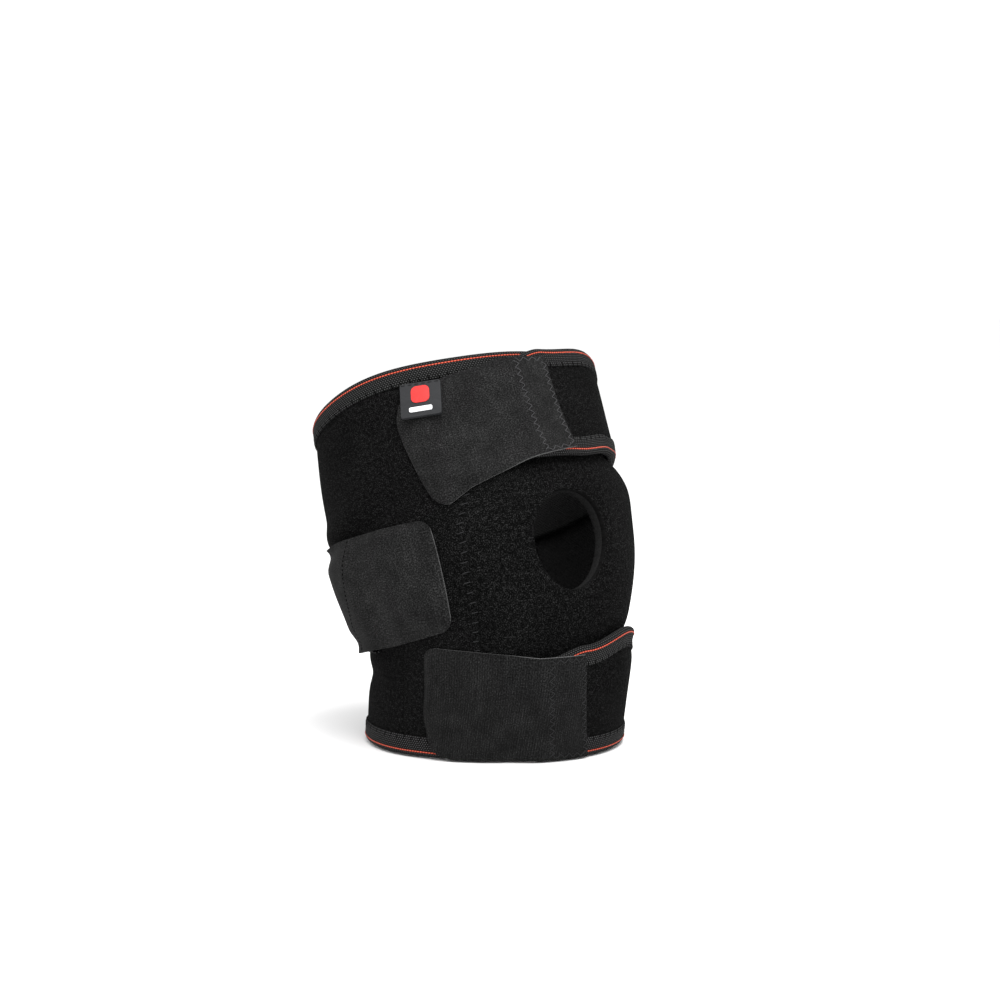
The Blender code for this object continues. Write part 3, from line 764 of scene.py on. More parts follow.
def ringed_grid(angles, s, left, right, low, high):
    """Flat places and faces of a grid whose block of cells from column left to right and
    row low to high is redrawn as rings that close in on the opening's edge."""
    rows = angles.shape[1]
    faces = grid_faces(*angles.shape, lambda i, j: not (left <= i < right and low <= j < high))
    loop = [(i, low) for i in range(left, right)] + [(right, j) for j in range(low, high)]
    loop += [(i, high) for i in range(right, left, -1)] + [(left, j) for j in range(high, low, -1)]
    outer = np.array([i * rows + j for i, j in loop])
    places = np.stack((angles, s), axis=-1).reshape(-1, 2)
    corners = places[outer]
    edge = np.stack(beyond_opening(opening_place(*corners.T)[0], 0.0), axis=-1)
    numbers = outer
    for ring in np.arange(1, OPENING_RINGS + 1) / OPENING_RINGS:
        t = 0.4 * smoothstep(ring) + 0.6 * ring
        inner = len(places) + np.arange(len(outer))
        faces += list(zip(numbers, np.roll(numbers, -1), np.roll(inner, -1), inner))
        places = np.concatenate((places, corners * (1 - t) + edge * t))
        numbers = inner
    return places, faces


def front_panel():
    """The knee panel, from the curved seam to the right wing, with the kneecap opening."""
    s_rows = steps(LOWER_EDGE, UPPER_EDGE, CLOTH_STEP)
    share = np.linspace(0.0, 1.0, 96)
    start = SEAM_LINE(s_rows) + degrees_for(SEAM_GAP)
    angles = start + (FRONT_PANEL_END - start) * share[:, None]
    middle = angles[:, len(s_rows) // 2]
    left, right = np.searchsorted(middle, (OPENING_ANGLE - 25.0, OPENING_ANGLE + 25.0))
    low, high = np.searchsorted(s_rows, (OPENING_S - 22.0, OPENING_S + 22.0))
    s_grid = np.broadcast_to(s_rows, angles.shape)
    places, faces = ringed_grid(angles, s_grid, left, right, low, high)
    angle, s = places.T
    height = INNER_LAYER + SHEET / 2 + swell(angle, s) + fullness(angle, s)
    height += seam_groove(length_of(angle - SEAM_LINE(s))) + rolled_edge(angle, s)
    height += seam_groove(length_of(angle - FRONT_PANEL_END)) + channel_valley(angle, s)
    points, coords, faces = compact(skin(angle, s, height), cloth_place(angle, s), faces)
    obj = add_object("front_panel_cloth", points, faces, PANEL_MATERIALS)
    lay_pattern(obj, coords)
    thicken(obj, SHEET, EDGE_ROUNDING)
    claim(obj, stands_for=["front_panel"])


def wing(name, angles, s, keep, groove):
    """A side panel on the inner layer."""
    height = INNER_LAYER + SHEET / 2 + groove + fullness(angles, s)
    obj = sheet_grid(name + "_cloth", angles, s, height, PANEL_MATERIALS, SHEET, keep=keep)
    claim(obj, stands_for=[name])
    return obj


def left_wing():
    """Runs from the curved seam round the left side to the back, with its notch."""
    s_rows = joined_steps((LOWER_EDGE, NOTCH_LOW, NOTCH_HIGH, UPPER_EDGE), CLOTH_STEP)
    back = steps(LEFT_WING_END, NOTCH_START, degrees_for(CLOTH_STEP))
    share = np.linspace(0.0, 1.0, 72)[1:]
    end = SEAM_LINE(s_rows) - degrees_for(SEAM_GAP)
    side = NOTCH_START + (end - NOTCH_START) * share[:, None]
    angles = np.concatenate((np.broadcast_to(back[:, None], (len(back), len(s_rows))), side))
    s = np.broadcast_to(s_rows, angles.shape)

    def keep(i, j):
        return i >= len(back) - 1 or not NOTCH_LOW < (s_rows[j] + s_rows[j + 1]) / 2 < NOTCH_HIGH

    obj = wing("left_wing", angles, s, keep, seam_groove(length_of(angles - SEAM_LINE(s))))
    width = flat_length(SEAM_LINE(80.0) - LEFT_WING_END)


def right_wing():
    """Runs under the front straps and narrows to the root of the middle strap."""
    stops = (LOWER_EDGE, SHOULDER_LOW, BAND_LOW, BAND_HIGH, SHOULDER_HIGH, UPPER_EDGE)
    s_rows = joined_steps(stops, CLOTH_STEP)
    start = FRONT_PANEL_END + degrees_for(SEAM_GAP)
    turns = (start, RIGHT_WING_CUT, SHOULDER_END, RIGHT_WING_END)
    columns = joined_steps(turns, degrees_for(CLOTH_STEP))
    angles, s = lattice(columns, s_rows)

    def keep(i, j):
        angle, middle = (columns[i] + columns[i + 1]) / 2, (s_rows[j] + s_rows[j + 1]) / 2
        if angle > SHOULDER_END:
            return BAND_LOW < middle < BAND_HIGH
        return angle < RIGHT_WING_CUT or SHOULDER_LOW < middle < SHOULDER_HIGH

    obj = wing("right_wing", angles, s, keep, seam_groove(length_of(angles - start)))


def ring_profile():
    """Section of the pad from its skin side round its inner wall to the panel, as pairs
    of growth beyond the opening's edge and height."""
    inner, radius = 0.1, 1.6
    top, bottom = INNER_LAYER - 0.4, RING_BOTTOM
    corner = [(inner + radius * (1 - math.cos(a)), radius * (1 - math.sin(a)))
              for a in np.linspace(0.0, math.pi / 2, 6)]
    wall = [(growth, top - rise) for growth, rise in reversed(corner)]
    wall += [(growth, bottom + rise) for growth, rise in corner]
    slope = [(RING_REACH - 3.0, bottom + 0.5), (RING_REACH - 1.0, bottom + 1.8),
             (RING_REACH, top - 1.0), (RING_REACH - 0.6, top)]
    return np.array(wall + slope)


def kneecap_ring():
    """The padded ring behind the opening's edge, in a cover puckered by its seam."""
    turns, puckers = 150, 44
    phi = np.linspace(0.0, 2 * math.pi, turns, endpoint=False)[:, None]
    profile = ring_profile()
    growth, height = profile.T
    pucker = 0.14 * np.cos(puckers * phi) * hill(growth, 1.0, 1.5)
    angle, s = beyond_opening(phi, growth + pucker)
    points = skin(angle, s, height + swell(angle, s)).reshape(-1, 3)
    faces = tube_faces(turns, len(profile), closed=True)
    obj = add_object("kneecap_ring_pad", points, faces, [RING_COVER])
    lay_pattern(obj, pattern(phi * OPENING_HALF_HEIGHT, run_along(profile)))
    claim(obj, stands_for=["kneecap_ring"])


# ---------------- bindings

def tape_profile():
    """Cross section of tape folded over a sheet's edge, as (inward, lift) of its middle,
    from the inner face round the edge to the outer face, with soft lengthwise ribs."""
    inner = -GAP - TAPE / 2
    outer = SHEET + GAP + TAPE / 2
    radius = (outer - inner) / 2
    bend = np.linspace(-math.pi / 2, math.pi / 2, 9)
    back = radius - EDGE_GAP - TAPE / 2
    inward_leg = np.arange(BINDING_WIDTH, back, -TAPE_STEP / 2)
    leg = np.stack((inward_leg, np.full_like(inward_leg, inner)), axis=-1)
    centre = (inner + outer) / 2
    fold = np.stack((back - radius * np.cos(bend), centre + radius * np.sin(bend)), axis=-1)
    outward_leg = inward_leg[::-1]
    ribs = 0.09 * np.cos(2 * math.pi * outward_leg / KNIT_ROW)
    hem = -0.45 * smoothstep((outward_leg - BINDING_WIDTH + 1.6) / 1.6)
    top = np.stack((outward_leg, outer + ribs + hem), axis=-1)
    return np.concatenate((leg, fold, top))


def binding(name, columns, edge, side, height, bodies):
    """Tape folded over a sheet's edge, with its woven line and its hem stitches; side is
    +1 where the sheet lies above the edge."""
    profile = tape_profile()[::-side]
    angles = np.broadcast_to(columns[:, None], (len(columns), len(profile)))
    s = edge(columns)[:, None] + side * profile[:, 0] / stretch(columns, edge(columns))[:, None]
    lift = height(columns)[:, None] + profile[:, 1] + swell(angles, s)
    along = run_along(skin(columns, edge(columns), height(columns) + PANEL_TOP)) / MM
    points = skin(angles, s, lift).reshape(-1, 3)
    obj = add_object(name + "_tape", points, grid_faces(*angles.shape), [TAPE_LOOK])
    lay_pattern(obj, pattern(along[:, None], run_along(profile)))
    thicken(obj, TAPE)
    claim(obj, bodies, [name])
    claim(orange_line(name + "_line", columns, edge, side, height, along), bodies)
    claim(hem_stitches(name + "_hem_stitches", columns, edge, side, height), bodies)


def on_tape(columns, edge, side, height, inward, lift):
    """Places on the outer face of a binding, inward from the sheet's edge."""
    s = edge(columns) + side * inward / stretch(columns, edge(columns))
    return s, height(columns) + SHEET + GAP + TAPE + lift + swell(columns, s)


def orange_line(name, columns, edge, side, height, along):
    """The coloured yarn woven into the binding near its folded edge."""
    half = 0.25
    across = np.linspace(-half, half, 7)[:, None]
    crown = 0.14 * np.cos(across / half * math.pi / 2) + 0.05 * np.cos(2 * math.pi * along / 1.1)
    s, h = on_tape(columns, edge, side, height, 1.1 + side * across, crown)
    angle = np.broadcast_to(columns[:, None], s.T.shape)
    obj = add_object(name, skin(angle, s.T, h.T).reshape(-1, 3), grid_faces(*angle.shape), [ORANGE])
    lay_pattern(obj, pattern(along[:, None], across.T))
    return thicken(obj, 0.2)


# ---------------- stitches

def stitch_mesh(name, starts, ends, normals, radius, mat, rise=0.25):
    """Short threads that rise out of the cloth between their two needle holes."""
    starts, ends, normals = (np.asarray(v, float) for v in (starts, ends, normals))
    sides, stations = 6, 5
    t = np.linspace(0.0, 1.0, stations)
    arch = np.sin(t * math.pi)
    lift = (arch * rise - radius * 0.6 * (1 - arch)) * MM
    path = starts[:, None] + (ends - starts)[:, None] * t[:, None]
    path += normals[:, None] * lift[:, None]
    length = np.linalg.norm(ends - starts, axis=1, keepdims=True)
    across = np.cross(normals, (ends - starts) / np.maximum(length, 1e-9))
    turn = np.linspace(0.0, 2 * math.pi, sides, endpoint=False)
    ring = np.cos(turn)[:, None] * across[:, None] + np.sin(turn)[:, None] * normals[:, None]
    verts = path[:, :, None] + ring[:, None] * radius * MM
    faces = []
    for k in range(len(starts)):
        faces += tube_faces(stations, sides, k * stations * sides)
    obj = add_object(name, verts.reshape(-1, 3), faces, [mat])
    twist = np.broadcast_to(t[:, None] * 2.0, verts.shape[:3])
    lay_pattern(obj, pattern(twist, turn * 0.2))
    return obj


def evenly(columns, place, pitch):
    """Values of columns where the line place(columns) has gone each further pitch."""
    fine = np.linspace(columns[0], columns[-1], 800)
    run = run_along(place(fine)) / MM
    count = max(2, int(run[-1] / pitch))
    return np.interp((np.arange(count) + 0.5) * run[-1] / count, run, fine)


def hem_stitches(name, columns, edge, side, height):
    """Slanting bars of thread, sunk in the tape, that hold down its inner edge; their near-black
    colour paints the shade of the grooves they pull into the tape.
    """
    where = evenly(columns, lambda a: skin(a, edge(a), height(a) + SHEET), 4.4)
    low_s, low_h = on_tape(where, edge, side, height, BINDING_WIDTH - 2.6, -0.1)
    high_s, high_h = on_tape(where, edge, side, height, BINDING_WIDTH + 0.1, -0.5)
    slant = degrees_for(0.5)
    return stitch_mesh(name, skin(where - slant, low_s, low_h), skin(where + slant, high_s, high_h),
                       outward(where, low_s, low_h), 0.3, PAINTED_SHADE_THREAD, 0.1)


def zigzag(points, normals, half_width):
    """Starts, ends and normals of stitches that cross a line from side to side."""
    way = np.gradient(points, axis=0)
    way /= np.linalg.norm(way, axis=1, keepdims=True)
    flip = np.where(np.arange(len(points)) % 2 == 0, 1.0, -1.0)[:, None]
    corners = points + np.cross(normals, way) * flip * half_width * MM
    return corners[:-1], corners[1:], (normals[:-1] + normals[1:]) / 2


def zigzag_seam(name, angle, s, sunk, half_width, *looks):
    """A zigzag over a seam of the panels; looks are its radius, thread and rise."""
    h = PANEL_TOP - sunk + swell(angle, s)
    stitches = zigzag(skin(angle, s, h), outward(angle, s, h), half_width)
    claim(stitch_mesh(name, *stitches, *looks))


def seam_stitches():
    """The zigzag sunk in the curved seam, and the bars that close the stay's channel."""
    s = np.arange(LOWER_EDGE + BINDING_WIDTH, UPPER_EDGE - BINDING_WIDTH, 1.3)
    zigzag_seam("left_seam_stitches", SEAM_LINE(s), s, 0.55, 0.9, 0.15, SEAM_THREAD, 0.15)
    s = np.arange(LOWER_EDGE + BINDING_WIDTH, CHANNEL_TOP, 3.2)
    angle = CHANNEL_LINE(s) + 0.5 * np.sin(s * 2.3)
    h = PANEL_TOP - 0.1 + swell(angle, s) + fullness(angle, s)
    half = degrees_for(1.5)
    obj = stitch_mesh("channel_stitches", skin(angle - half, s, h), skin(angle + half, s + 0.3, h),
                      outward(angle, s, h), 0.24, THREAD, 0.2)
    claim(obj)


# ---------------- straps

def strap(name, columns, low, high, height, bodies, crown=0.4):
    """A loop-faced strap with its two bindings, a little fuller along its middle."""
    angles, s = band_grid(columns, low, high)
    share = (s - s[:, :1]) / (s[:, -1:] - s[:, :1])
    middle = height(columns)[:, None] + SHEET / 2 + crown * np.sin(math.pi * share)
    obj = sheet_grid(f"{name}_strap_cloth", angles, s, middle, PANEL_MATERIALS, SHEET)
    claim(obj, bodies, [f"{name}_strap"])
    width = float(np.mean(high(columns) - low(columns))) * MM
    fine = steps(columns[0], columns[-1], degrees_for(TAPE_STEP))
    for side, edge, word in ((1, low, "bottom"), (-1, high, "top")):
        binding(f"{name}_strap_binding_{word}", fine, edge, side, height, bodies)


def root_blend(body, root, reach, s):
    """The bodies and two places of a strap that grows out of the wing at its root, for a swing
    beyond it.
    """
    start, end = skin(root, s, PANEL_TOP), skin(root + reach, s, PANEL_TOP)
    return "root", body, tuple(start), tuple(end)


def straps():
    step, slit, reach = degrees_for(CLOTH_STEP), degrees_for(0.2), 12.0
    joined = LEFT_WING_END + 360.0 - slit
    strap("upper", steps(-6.0, joined, step), UPPER_STRAP_LOW, UPPER_STRAP_HIGH,
          FRONT_STRAP_HEIGHT, root_blend("upper_strap_body", STRAP_ROOT, -reach, 137.0))
    strap("lower", steps(-13.0, joined, step), LOWER_STRAP_LOW, LOWER_STRAP_HIGH,
          FRONT_STRAP_HEIGHT, root_blend("lower_strap_body", STRAP_ROOT, -reach, 19.0))
    strap("middle", steps(RIGHT_WING_END - 360.0 + slit, -97.0, step), MIDDLE_STRAP_LOW,
          MIDDLE_STRAP_HIGH, MIDDLE_STRAP_HEIGHT,
          root_blend("middle_strap_body", BAND_ROOT, reach, 75.0), crown=1.4)


# ---------------- tabs

def corner_inset(distance, radius):
    """How far a rounded corner pulls an edge in, at a distance from the free end."""
    inside = np.clip(radius - distance, 0.0, radius)
    return radius - np.sqrt(radius * radius - inside * inside)


class Tab:
    """The shape of a strap's stiff end: sewn to the strap as far as the fold, free beyond
    it. seam, fold and tip are angles at the tab's middle; low and high give its edges;
    slant is how far the sewn end turns with each millimetre up, in degrees; stack is the
    height of the strap's bindings under it, and crown how far its middle stands above
    them."""

    def __init__(self, name, seam, fold, tip, low, high, radius, middle, slant, stack, crown):
        self.name, self.seam, self.fold, self.tip = name, seam, fold, tip
        self.low, self.high, self.radius = low, high, radius
        self.middle, self.slant, self.stack, self.crown = middle, slant, stack, crown
        self.way = math.copysign(1.0, tip - fold)
        self.body = f"{name}_tab_body"

    def columns(self):
        """Angles from one end to the other, closer together where the corners are round."""
        corner = degrees_for(self.radius)
        bend = self.tip - self.way * corner
        shares = np.sin(np.linspace(0.0, math.pi / 2, 9))[1:]
        plain_part = steps(self.seam, bend, degrees_for(TAB_STEP))
        return np.sort(np.concatenate((plain_part, bend + self.way * corner * shares)))

    def turned(self, angle, s):
        """The slant of the sewn end, which dies out toward the free end."""
        return angle + self.slant * (s - self.middle) * (angle - self.tip) / (self.seam - self.tip)

    def from_tip(self, angle):
        return length_of(np.abs(self.tip - angle))

    def rim(self, angle, s):
        """How far a place lies inside the nearer long edge, measured square to it."""
        run = length_of(1.0)
        slopes = [(edge(angle + 0.5) - edge(angle - 0.5)) / run for edge in (self.low, self.high)]
        return np.minimum((s - self.low(angle)) / np.hypot(1.0, slopes[0]),
                          (self.high(angle) - s) / np.hypot(1.0, slopes[1]))

    def height(self, angle, s):
        """Over the strap and its bindings, then down onto the panel. There its rim is
        pressed down, except over the panel's own bindings."""
        ramp = smoothstep(self.way * (angle - self.fold) / RAMP)
        rim = self.rim(angle, s)
        crown = self.crown * smoothstep((rim - TAB_FLAT_RIM) / 9.0)
        over = self.stack + TAB_SHEET / 2 + TAB_PLAY + crown
        edge = 1 - smoothstep(np.minimum(rim, self.from_tip(angle)) / TAB_EDGE_REACH)
        off_binding = smoothstep((np.minimum(s, LENGTH - s) - BINDING_WIDTH - 1.5) / 4.0)
        on_panel = TAB_ON_PANEL - TAB_EDGE_DROP * edge * off_binding
        on_panel = on_panel + fullness(self.turned(angle, s), s)
        return over * (1 - ramp) + on_panel * ramp

    def place(self, angle, s, lift=0.0):
        """World places of the tab's middle surface, and the angles there."""
        turned = self.turned(angle, s)
        return skin(turned, s, self.height(angle, s) + swell(turned, s) + lift), turned

    def blend(self):
        """The strap's body, the tab's body and the two places just past the fold between which the
        tab would bend.
        """
        start = skin(self.fold, self.middle, self.stack)
        end = skin(self.fold + self.way * 6.0, self.middle, self.stack)
        return f"{self.name}_strap_body", self.body, tuple(start), tuple(end)


def tab_sheet(tab, mats):
    columns = tab.columns()
    inset = corner_inset(tab.from_tip(columns), tab.radius)
    angles, s = band_grid(columns, lambda a: tab.low(a) + inset, lambda a: tab.high(a) - inset,
                          TAB_STEP)
    heights = tab.height(angles, s)
    obj = sheet_grid(f"{tab.name}_tab", tab.turned(angles, s), s, heights, mats, TAB_SHEET,
                     rounding=0.3)
    claim(obj, tab.blend(), [f"{tab.name}_tab_base", f"{tab.name}_tab_flap"])
    width = float(np.mean(tab.high(columns) - tab.low(columns))) * MM


def tab_zigzag(tab, inner, mat):
    """The box of zigzag that sews the tab to its strap; inner is its column by the fold."""
    inset = 1.5
    near = tab.seam + tab.way * degrees_for(inset)
    rows = []
    for angle in (near, inner):
        s = np.arange(float(tab.low(angle)) + inset, float(tab.high(angle)) - inset, 1.75)
        rows.append((np.full_like(s, angle), s, 1.25))
    columns = np.arange(min(near, inner), max(near, inner), degrees_for(2.1))
    rows.append((columns, tab.low(columns) + inset, 1.0))
    rows.append((columns, tab.high(columns) - inset, 1.0))
    parts = []
    for angle, s, half_width in rows:
        points, turned = tab.place(angle, s, TAB_SHEET / 2)
        parts.append(zigzag(points, outward(turned, s, TAB_NORMAL_HEIGHT), half_width))
    starts, ends, normals = (np.concatenate(part) for part in zip(*parts))
    obj = stitch_mesh(f"{tab.name}_tab_stitches", starts, ends, normals, 0.15, mat, 0.15)
    claim(obj, tab.blend())


def tab_line(tab, line):
    """A straight row of stitches across a tab, along line(s), in near-black thread that paints the
    shade of their needle holes.
    """
    s = np.arange(float(tab.low(tab.seam)) + 3.0, float(tab.high(tab.seam)) - 3.0, 2.0)
    ends = [tab.place(line(s + half), s + half, TAB_SHEET / 2 - 0.1)[0] for half in (-0.6, 0.6)]
    normals = outward(line(s), s, TAB_NORMAL_HEIGHT)
    obj = stitch_mesh(f"{tab.name}_tab_stitches", *ends, normals, 0.3, PAINTED_SHADE_THREAD, 0.1)
    claim(obj, tab.blend())


def hook_pad(tab):
    """Hook tape under the free part of a tab: a backing with rows of small hooks."""
    margin = 5.0
    first = tab.fold + tab.way * (RAMP + 2.0)
    last = tab.tip - tab.way * degrees_for(margin)
    columns = steps(min(first, last), max(first, last), degrees_for(CLOTH_STEP))

    def low(a):
        return np.maximum(tab.low(a), BINDING_WIDTH) + margin

    def high(a):
        return np.minimum(tab.high(a), LABEL_S - LABEL_DROP + 3.0) - margin

    angles, s = band_grid(columns, low, high)
    middle = TAB_ON_PANEL - TAB_SHEET / 2 - HOOK_BACKING / 2
    obj = sheet_grid(f"{tab.name}_hook_pad_tape", angles, s, middle + fullness(angles, s), [HOOK],
                     HOOK_BACKING, rounding=0.0)
    claim(obj, [tab.body], [f"{tab.name}_hook_pad"])
    width = float(np.mean(high(columns) - low(columns))) * MM
    hooks(tab, columns, low, high, middle - HOOK_BACKING / 2)


def hooks(tab, columns, low, high, height):
    """Little arches of nylon that point at the panel, in staggered rows."""
    pitch, half = 1.9, 0.4
    angle, s = [], []
    for k, column in enumerate(np.arange(columns[0] + 1.0, columns[-1] - 1.0, degrees_for(pitch))):
        start = float(low(column)) + 1.0 + k % 2 * pitch / 2
        rows = np.arange(start, float(high(column)) - 1.0, pitch)
        angle.append(np.full_like(rows, column))
        s.append(rows)
    angle, s = np.concatenate(angle), np.concatenate(s)
    h = height + swell(angle, s) + fullness(angle, s)
    obj = stitch_mesh(f"{tab.name}_hooks", skin(angle, s - half, h), skin(angle, s + half, h),
                      -outward(angle, s, h), 0.12, HOOK, 0.8)
    claim(obj, [tab.body])


def tabs():
    front = OUTER_LAYER + SHEET + GAP + TAPE
    back = BACK_LAYER + SHEET + GAP + TAPE
    upper = Tab("upper", 10.8, -6.0, -53.5,
                straight((-53.5, 135.5), (-51.0, 120.0), (-49.6, 108.0), (-48.9, 103.0),
                         (-47.4, 99.6), (-45.6, 97.8), (-43.5, 97.2), (-41.5, 97.8),
                         (-34.0, 101.3), (-10.7, 108.2), (12.7, 113.4)),
                straight((-53.5, 141.5), (-51.5, 147.0), (-34.0, 154.6), (-9.0, 158.8),
                         (12.7, 159.2)),
                2.5, 135.0, -0.05, front, -0.5)
    middle = Tab("middle", -112.0, -97.0, -52.8,
                 straight((-112.0, 43.5), (-97.0, 46.3), (-55.0, 55.3)),
                 straight((-112.0, 103.0), (-97.0, 101.0), (-55.0, 94.2)),
                 4.6, 73.0, 0.0, back, 1.2)
    lower = Tab("lower", 6.3, -13.0, -67.0,
                straight((-67.0, 17.0), (-60.5, 3.5), (-52.0, 0.6)),
                straight((-60.0, 49.0), (-15.0, 45.2), (10.5, 45.4)),
                6.0, 23.0, -0.185, front, -0.5)
    # The lower tab's ribbed suede carries painted shade in its darker tone
    for tab, suede_kind in ((upper, SUEDE), (middle, SUEDE), (lower, RIBBED_SUEDE_PAINTED_SHADE)):
        tab_sheet(tab, [suede_kind, HOOK, SUEDE_EDGE])
        hook_pad(tab)
    tab_zigzag(upper, -2.4, TAB_THREAD)
    tab_zigzag(lower, -10.3, DULL_THREAD)
    tab_line(middle, straight((50.0, -106.0), (97.0, -91.0)))


# ---------------- side stays

def side_stay(side):
    """A flat spiral of wire with a cap on each end, in a pocket of tape."""
    name = "left" if side < 0 else "right"
    angle = side * STAY_ANGLE
    low, high = STAY_SPAN
    spiral(name, angle, low, high)
    stay_cap(f"stay_cap_{name}_lower", angle, low + 1.0, low - CAP_LENGTH)
    stay_cap(f"stay_cap_{name}_upper", angle, high - 1.0, high + CAP_LENGTH)
    stay_pocket(name, angle)


def spiral(name, angle, low, high):
    """Round wire wound flat, as in a corset's spiral bone."""
    pitch, wire, sides, steps_per_turn = 1.9, 0.42, 6, 14
    turns = np.arange(0.0, (high - low) / pitch, 1.0 / steps_per_turn)
    phase = 2 * math.pi * turns
    across = (STAY_WIDTH / 2 - wire) * np.cos(phase)
    height = STAY_HEIGHT + 0.4 * np.sin(phase)
    centre = skin(angle + degrees_for(across), low + pitch * turns, height)
    way = np.gradient(centre, axis=0)
    way /= np.linalg.norm(way, axis=1, keepdims=True)
    side = np.cross(way, (0.0, 0.0, 1.0))
    side /= np.linalg.norm(side, axis=1, keepdims=True)
    lift = np.cross(side, way)
    turn = np.linspace(0.0, 2 * math.pi, sides, endpoint=False)[:, None]
    ring = (np.cos(turn) * side[:, None] + np.sin(turn) * lift[:, None]) * wire * MM
    faces = [face[::-1] for face in tube_faces(len(centre), sides)]
    verts = (centre[:, None] + ring).reshape(-1, 3)
    obj = add_object(f"side_stay_{name}_spiral", verts, faces, [STEEL])
    lay_pattern(obj, np.repeat(pattern(turns * 8.0, turns), sides, axis=0))
    claim(obj, stands_for=[f"side_stay_{name}"])


def stay_cap(name, angle, first, last):
    """A moulded cap pushed over the end of the spiral, round at its far end."""
    radius = 3.2
    s = first + (last - first) * (1 - (1 - np.linspace(0.0, 1.0, 11)) ** 1.6)
    half = STAY_WIDTH / 2 + 0.45 - corner_inset(np.abs(last - s), radius)
    angles = angle + degrees_for(np.linspace(-1.0, 1.0, 9)[:, None] * half)
    s = np.broadcast_to(s, angles.shape)
    if last < first:
        angles, s = angles[:, ::-1], s[:, ::-1]
    obj = sheet_grid(name + "_moulding", angles, s, np.full_like(s, STAY_HEIGHT), [PLASTIC], 1.7,
                     rounding=0.5)
    claim(obj, stands_for=[name])


def stay_pocket(name, angle):
    """Tape that arches over the stay on the skin side, stitched down along both sides."""
    low, high = STAY_SPAN[0] - POCKET_MARGIN, STAY_SPAN[1] + POCKET_MARGIN
    reach, seated, arch = STAY_WIDTH / 2 + 5.0, 0.55, 2.3
    across = np.linspace(-reach, reach, 23)
    angles, rows = lattice(angle + degrees_for(across), steps(low, high, CLOTH_STEP))
    shape = 1 - smoothstep((np.abs(across) - STAY_WIDTH / 2 - 0.4) / 3.2)
    height = seated - arch * shape[:, None] * between(rows, low, high, 6.0)
    obj = sheet_grid(f"stay_pocket_{name}_tape", angles, rows, height, [TAPE_LOOK], TAPE,
                     rounding=0.0)
    claim(obj, stands_for=[f"stay_pocket_{name}"])
    sewn = degrees_for(np.array((-1.0, 1.0)) * (reach - 1.6))
    at, s = (v.ravel() for v in lattice(angle + sewn, np.arange(low + 2.0, high - 2.0, 2.6)))
    h = seated - TAPE / 2 + swell(at, s)
    obj = stitch_mesh(f"stay_pocket_{name}_stitches", skin(at, s - 0.75, h), skin(at, s + 0.75, h),
                      -outward(at, s, h), 0.2, THREAD, 0.1)
    claim(obj)


# ---------------- strap roots

def root_seams():
    """Zigzag over the butt joins where the straps grow out of the wings."""
    joins = (("upper", LEFT_WING_END, 122.0, 158.0), ("lower", LEFT_WING_END, 9.0, 30.0),
             ("middle", RIGHT_WING_END - 360.0, 52.0, 99.0))
    for name, angle, low, high in joins:
        s = np.arange(low, high, 1.5)
        zigzag_seam(f"{name}_strap_root_stitches", np.full_like(s, angle), s, 0.05, 1.6, 0.18,
                    THREAD, 0.2)


def join_tape(name, low, high):
    """A wide jersey tape behind the butt joins beside the strap roots, on the skin side."""
    first, last = 88.0, 134.0
    angles, s = band_grid(steps(first, last, degrees_for(CLOTH_STEP)), flat(low), flat(high))
    obj = sheet_grid(f"{name}_join_tape", angles, s, np.full_like(s, -0.9), [LINING], 0.5,
                     rounding=0.0)
    claim(obj)


# ---------------- label

def label_frame():
    """The label's axes: x across it, y out from the leg, z up it, from its hinge."""
    out = outward(LABEL_ANGLE, LABEL_S, LABEL_HEIGHT)
    below, above = (skin(LABEL_ANGLE, LABEL_S + step, LABEL_HEIGHT) for step in (-1.0, 1.0))
    up = (above - below) / np.linalg.norm(above - below)
    axes = Matrix((np.cross(out, up), out, up)).transposed().to_4x4()
    place = Matrix.Translation(Vector(skin(LABEL_ANGLE, LABEL_S, LABEL_HEIGHT)))
    roll = Matrix.Rotation(math.radians(LABEL_ROLL), 4, "Y")
    return place @ axes @ Matrix.Rotation(math.radians(LABEL_LEAN), 4, "X") @ roll


def rounded_outline(width, height, radius, per_corner=7):
    """Corners of a rounded rectangle about its middle, counter-clockwise from outside."""
    points = []
    for k, (sx, sz) in enumerate(((1, -1), (1, 1), (-1, 1), (-1, -1))):
        for a in np.linspace(0.0, math.pi / 2, per_corner):
            turn = a + (k - 1) * math.pi / 2
            points.append((sx * (width / 2 - radius) + radius * math.cos(turn),
                           sz * (height / 2 - radius) + radius * math.sin(turn)))
    return np.array(points)


def slab(node, word, outline, drop, low, high, mat, rounding, dome=0.0):
    """A rounded plate on the label, from height low to high, its middle at a drop."""
    axes = label_frame()
    rings = [(1.0, low)]
    rings += [(share, high + dome * (1 - share ** 2)) for share in (1.0, 0.97, 0.6, 0.3)]
    verts = []
    for share, y in rings:
        for x, z in outline * share:
            bend = LABEL_CURL * (x / LABEL_WIDTH) ** 2 * 4
            verts.append(axes @ (Vector((x, y - bend, z - drop)) * MM))
    obj = add_object(f"{node}_{word}", verts, tube_faces(len(rings), len(outline)), [mat])
    lay_pattern(obj, np.tile(outline, (len(rings), 1)))
    round_edges(obj, rounding)
    claim(obj, ["label_body"], [node])


